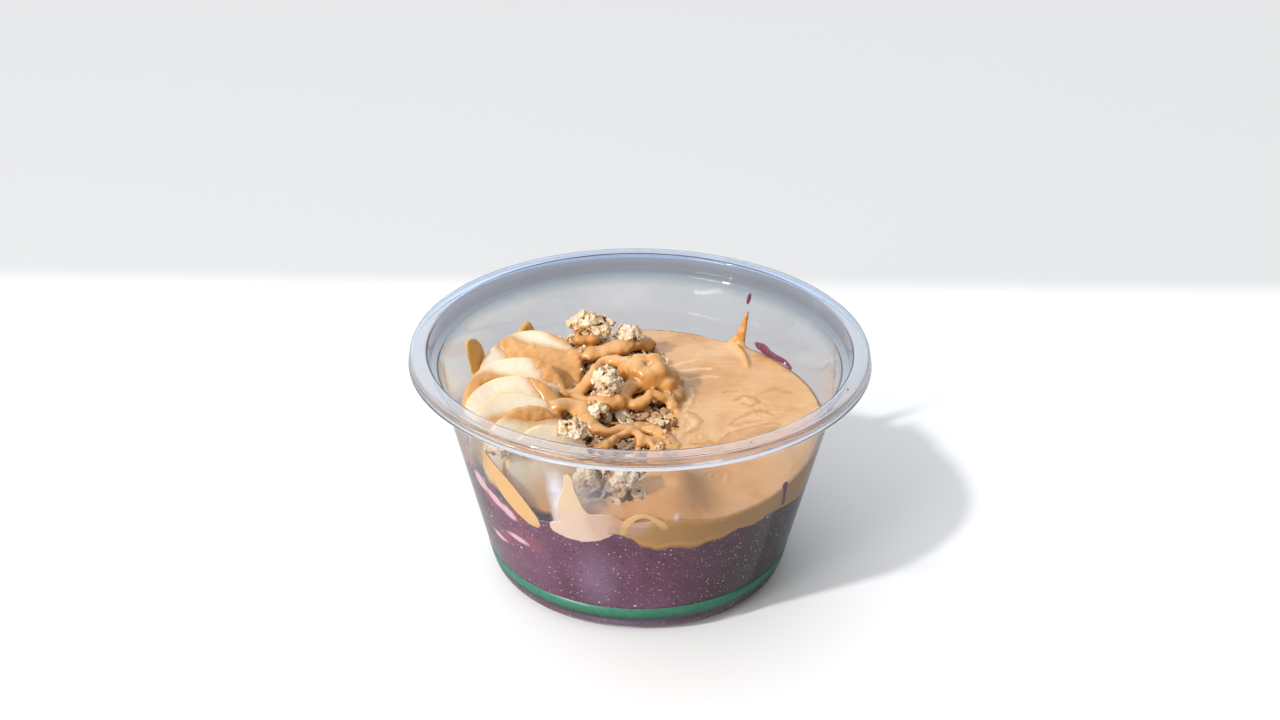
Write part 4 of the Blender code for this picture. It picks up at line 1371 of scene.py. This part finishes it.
# Its outside is pressed flat on the wall, its pool gets ripples, and its ropes get fine lumps
normals = [v.normal.copy() for v in butter.data.vertices]
at_wall = np.zeros((len(normals), 4))
for index, (vert, normal) in enumerate(zip(butter.data.vertices, normals)):
    x, y, z = spot = vert.co / MM
    off_wall = wall_face(vert.co.z) / MM - math.hypot(x, y)
    behind_slices = x < 0 and z > SLICE_DAB_FLOOR and bearing(x, y) < -100
    if off_wall < PRESSED_WITHIN and normal.x * x + normal.y * y > 0:
        set_radius(vert, wall_face(vert.co.z) + PRESS * MM)
        at_wall[index] = wall_colour(bearing(x, y), z)
    elif off_wall < SLICE_DAB_WITHIN and behind_slices:
        at_wall[index] = wall_colour(bearing(x, y), z)
    elif x > shore(y) + 1 and normal.z > 0.7 and z < POOL_CEILING:
        vert.co.z += pool_ripple(x, y) * MM
    elif z > ROPE_FLOOR or (z > GRANOLA_ROPE_FLOOR and x < shore(y) - 1):
        lumps = 0.30 * noise.noise(spot / 2.4) + 0.16 * noise.noise(spot / 1.1)
        vert.co += normal * (lumps * MM)
    hollow = (spot - DIMPLE).length
    if hollow < DIMPLE_REACH:
        vert.co -= normal * (DIMPLE_DEPTH * MM * math.exp(-hollow ** 2))
streaks_and_highlights = []
amber_and_painted_shade = []
for vert in butter.data.vertices:
    x, y, z = vert.co / MM
    on_pool = x > 9 and z < POOL_CEILING and vert.normal.z > 0.6
    streaks_and_highlights.append(streak_and_highlight_at(x, y) if on_pool else 0.0)
    amber_and_painted_shade.append(amber_and_painted_shade_at(x, y, z, vert.normal.z))
store(butter.data, "streak_and_highlight", streaks_and_highlights)
store(butter.data, "amber_and_painted_shade", amber_and_painted_shade)
store(butter.data, "at_wall", at_wall.ravel(), "FLOAT_COLOR")
butter.data.shade_smooth()

# Smooth peanut butter: oily and glossy, caramel tan, with darker swirl lines where the oil parts
smooth_butter, tree, shader, place = new_material(
    "smooth peanut butter", Roughness=0.23, IOR=1.47, Subsurface_Weight=0.18,
    Subsurface_Radius=(1.0, 0.5, 0.2), Subsurface_Scale=1.6 * MM)
drawn_out = vector_maths(tree, "MULTIPLY", place, (0.6, 1.5, 1.0))
colour = ramp(tree, noise_at(tree, place, 16, 3.0, 1.2), (0.3, "#CE965C"), (0.5, "#DCA96E"), (0.7, "#E6B67E"))
broad_streaks = noise_at(tree, drawn_out, 15, 1.0, 2.4)
colour = blended(tree, remapped(tree, broad_streaks, 0.5, 0.75, 0.0, 0.3, "SMOOTHSTEP"), colour, "#C98B4C")
# Deeper amber, which on the ropes' steeper sides is painted shade
colour = blended(tree, attribute(tree, "amber_and_painted_shade"), colour, "#C98638")
swirl = maths(tree, "MULTIPLY", noise_at(tree, drawn_out, 10, 1.5, 1.5), 7.0)
swirl_lines = remapped(tree, maths(tree, "PINGPONG", swirl, 0.5), 0.09, 0.0)
swirl_patches = remapped(tree, noise_at(tree, place, 22, 0.0), 0.5, 0.66, 0.0, 0.4)
colour = blended(tree, maths(tree, "MULTIPLY", swirl_lines, swirl_patches), colour, "#AD7030")
# Dark streaks, and pale lines that are painted highlights
for end, tint in ((0.75, "#B4772F"), (-0.9, "#F6D8B0")):
    colour = blended(tree, remapped(tree, attribute(tree, "streak_and_highlight"), 0.0, end, 0.0, 0.55), colour, tint)
pressed = add_node(tree, "ShaderNodeAttribute", {"attribute_name": "at_wall"}).outputs
paint(tree, shader, blended(tree, pressed["Alpha"], colour, pressed["Color"]),
      noise_at(tree, place, 2.4, 3.0, 1.0), 0.3, 0.3 * MM)
settle(butter, smooth_butter, "peanut_butter", "peanut_butter")

# The film that peanut butter leaves on the banana slices round its bands, and painted shade that darkens them
# low down towards the same brown
butter_skin = BVHTree.FromObject(butter, bpy.context.evaluated_depsgraph_get())
for cut in slices:
    film_and_shade = []
    for vert in cut.data.vertices:
        near = butter_skin.find_nearest(vert.co, FILM_REACH)[3]
        film = 0.0 if near is None else max(0.0, 1 - near / FILM_REACH) ** 1.3
        # Painted shade: darker towards the bottom of the slices
        painted_shade_low = clamped((LOW_SHADE_TOP - vert.co.z / MM) / 6) * 0.8
        film_and_shade.append(max(film * 0.9, painted_shade_low))
    store(cut.data, "film_and_painted_shade", film_and_shade)


# ---------------------------------------------------------------------------------------------------
# Loose crumbs: bits of the same baked oats that fell off the granola onto the peanut butter's edge,
# where they stick.  Two groups of them are toasted nearly black.
# Each group: x, y, spread, how many, lightest tone
CRUMB_GROUPS = (
    (8.6, -6.5, 2.4, 60, 0.22), (1.5, 22.4, 1.8, 26, 0.22), (9.7, 4.5, 1.3, 14, 0.7),
    (4.4, -6.9, 1.5, 16, 1.0), (-17.6, 27.1, 1.6, 14, 0.7), (-15.9, 20.6, 1.6, 14, 0.8),
    (-19.5, 12.4, 1.5, 14, 0.8), (-12.5, -4.3, 1.4, 16, 1.0), (-6.8, 8.5, 1.6, 14, 0.8),
    (5.0, -22.5, 1.8, 12, 0.8), (-31.5, -31.0, 1.6, 10, 0.8),
)
SHORE_CRUMBS = np.arange(-34, -8, 0.9)
SHORE_TONE = 0.6
CRUMB_SIZE = 1.5 * MM
drop_to_surface = tops_of(toppings + [butter])
chance = np.random.default_rng(11)
places = []
for x, y, spread, count, lightest in CRUMB_GROUPS:
    for _ in range(count):
        places.append((x + chance.normal(0, spread / 2), y + chance.normal(0, spread / 2), lightest))
for y in SHORE_CRUMBS:
    places.append((shore(y) + chance.normal(-0.8, 0.9), y, SHORE_TONE))
bm = bmesh.new()
tone_layer = bm.verts.layers.float.new("tone")
for x, y, lightest in places:
    found = drop_to_surface(x, y)
    if found is None:
        continue
    size = chance.uniform(0.5, 1.0) ** 2 * CRUMB_SIZE
    turn = Matrix.Rotation(chance.uniform(0, 6.28), 4, "Z")
    turn = turn @ Matrix.Rotation(chance.uniform(-0.7, 0.7), 4, "X")
    lump = bmesh.ops.create_icosphere(bm, subdivisions=1, radius=size / 2)["verts"]
    tone_here = chance.uniform(0.35, 1.0) * lightest
    for vert in lump:
        swelling = 1 + 0.5 * noise.noise(vert.co / size * 3.2 + Vector((x, y, 0)))
        vert.co = found + Vector((0, 0, size * 0.22)) + turn @ (vert.co * swelling)
        vert[tone_layer] = tone_here
settle(in_scene("loose_crumbs", mesh_from(bm, "loose_crumbs")), baked_oats, "granola")


# ---------------------------------------------------------------------------------------------------
# Smears: the puree's traces higher up on the wall, thin and dark, and specks of it on the rim.
# They are melted the same way, and the smears are pressed flat on the wall.
FLANGE_FOOT = 66 * MM
SMEAR_DEPTH = 0.5
SMEAR_PRESS = 0.13 * MM
SPECK_DEPTH = 0.15
# Each smear as points of bearing, height and half width
PUREE_SMEARS = (
    ((138.0, 49.6, 0.6), (136.6, 49.2, 1.1), (134.7, 49.0, 1.5), (131.8, 48.4, 1.1), (128.0, 48.3, 0.9),
     (124.0, 48.4, 0.8), (120.7, 47.9, 0.5)),
    ((143.9, 60.8, 0.4), (143.8, 62.2, 0.7), (143.6, 63.6, 0.4)),
    ((49.2, 44.6, 1.1), (50.0, 42.5, 0.9), (50.6, 40.0, 0.7), (51.4, 37.2, 0.9)),
)
# Each speck's bearing, radius and size
RIM_SPECKS = (
    (64.0, 62.6, 0.45), (52.0, 63.4, 0.35), (27.0, 63.0, 0.35), (118.0, 62.0, 0.3), (-24.0, 62.2, 0.3),
)
bm = bmesh.new()
for smear in PUREE_SMEARS:
    add_wall_dab(bm, smear, SMEAR_DEPTH)
for degrees, radius, size in RIM_SPECKS:
    angle = math.radians(degrees)
    middle = (radius * math.sin(angle), -radius * math.cos(angle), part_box("bowl")[1].z / MM)
    add_lump(bm, middle, (size, size, SPECK_DEPTH))
smears = in_scene("acai_smears", mesh_from(bm, "puree_smears"))
remeshed(smears, 0.2 * MM)
for vert in smears.data.vertices:
    free = wall_face(vert.co.z)
    if vert.co.z < FLANGE_FOOT and math.hypot(vert.co.x, vert.co.y) > free - 0.1 * MM:
        set_radius(vert, free + SMEAR_PRESS)
# The smears take the dark tint, and the red, at part strength as their own darker colour
for mark, share_here in (("shade", 0.4), ("red", 0.35)):
    store(smears.data, mark, [share_here] * len(smears.data.vertices))
smears.data.shade_smooth()
settle(smears, acai_puree, "acai")


# ---------------------------------------------------------------------------------------------------
# Condensation and a painted highlight: patches that whiten the wall.  The tall one at the front left is a
# painted highlight, a soft white reflection on the wall; the others are patches of the finest droplets,
# chilled out of the air onto the wall.
# Each patch: bearing and height of its middle, half spans, strength
MIST_AND_HIGHLIGHT = (
    # the first patch is the painted highlight
    (-23.4, 48.0, 2.4, 13.0, 1.3), (-16.0, 50.0, 8.0, 9.0, 0.3), (11.0, 44.8, 0.7, 2.0, 1.0),
    (65.5, 14.5, 3.2, 5.5, 0.9), (-172.0, 58.0, 10.0, 6.0, 0.25),
)
MIST_STEPS = 20
mist_and_highlight, tree, shader, place = new_material("condensation", Roughness=0.5, IOR=1.33,
                                         Base_Color=linear((0.96, 0.95, 0.97)))
patchy = remapped(tree, noise_at(tree, place, 3.5, 4.0), 0.3, 0.7, 0.55)
tree.links.new(maths(tree, "MULTIPLY", attribute(tree, "mist_and_highlight"), patchy), shader.inputs["Alpha"])
bm = bmesh.new()
mist_and_highlight_layer = bm.verts.layers.float.new("mist_and_highlight")
for middle, at_height, span, rise, strength in MIST_AND_HIGHLIGHT:
    rows = []
    for u in np.linspace(-1, 1, MIST_STEPS + 1):
        row = []
        for v in np.linspace(-1, 1, MIST_STEPS + 1):
            vert = bm.verts.new(on_wall(middle + u * span * 1.6, (at_height + v * rise) * MM, 0.02 * MM))
            vert[mist_and_highlight_layer] = strength * (1 - u * u) ** 1.5 * (1 - v * v) ** 1.2
            row.append(vert)
        rows.append(row)
    for a, b in zip(rows, rows[1:]):
        for i in range(MIST_STEPS):
            bm.faces.new((a[i], a[i + 1], b[i + 1], b[i]))
settle(in_scene("condensation", mesh_from(bm, "condensation", smooth=True)), mist_and_highlight, "clear_bowl")


# ---------------------------------------------------------------------------------------------------
# Sizes: the CAD model's box and the visual model's box.
low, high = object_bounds()
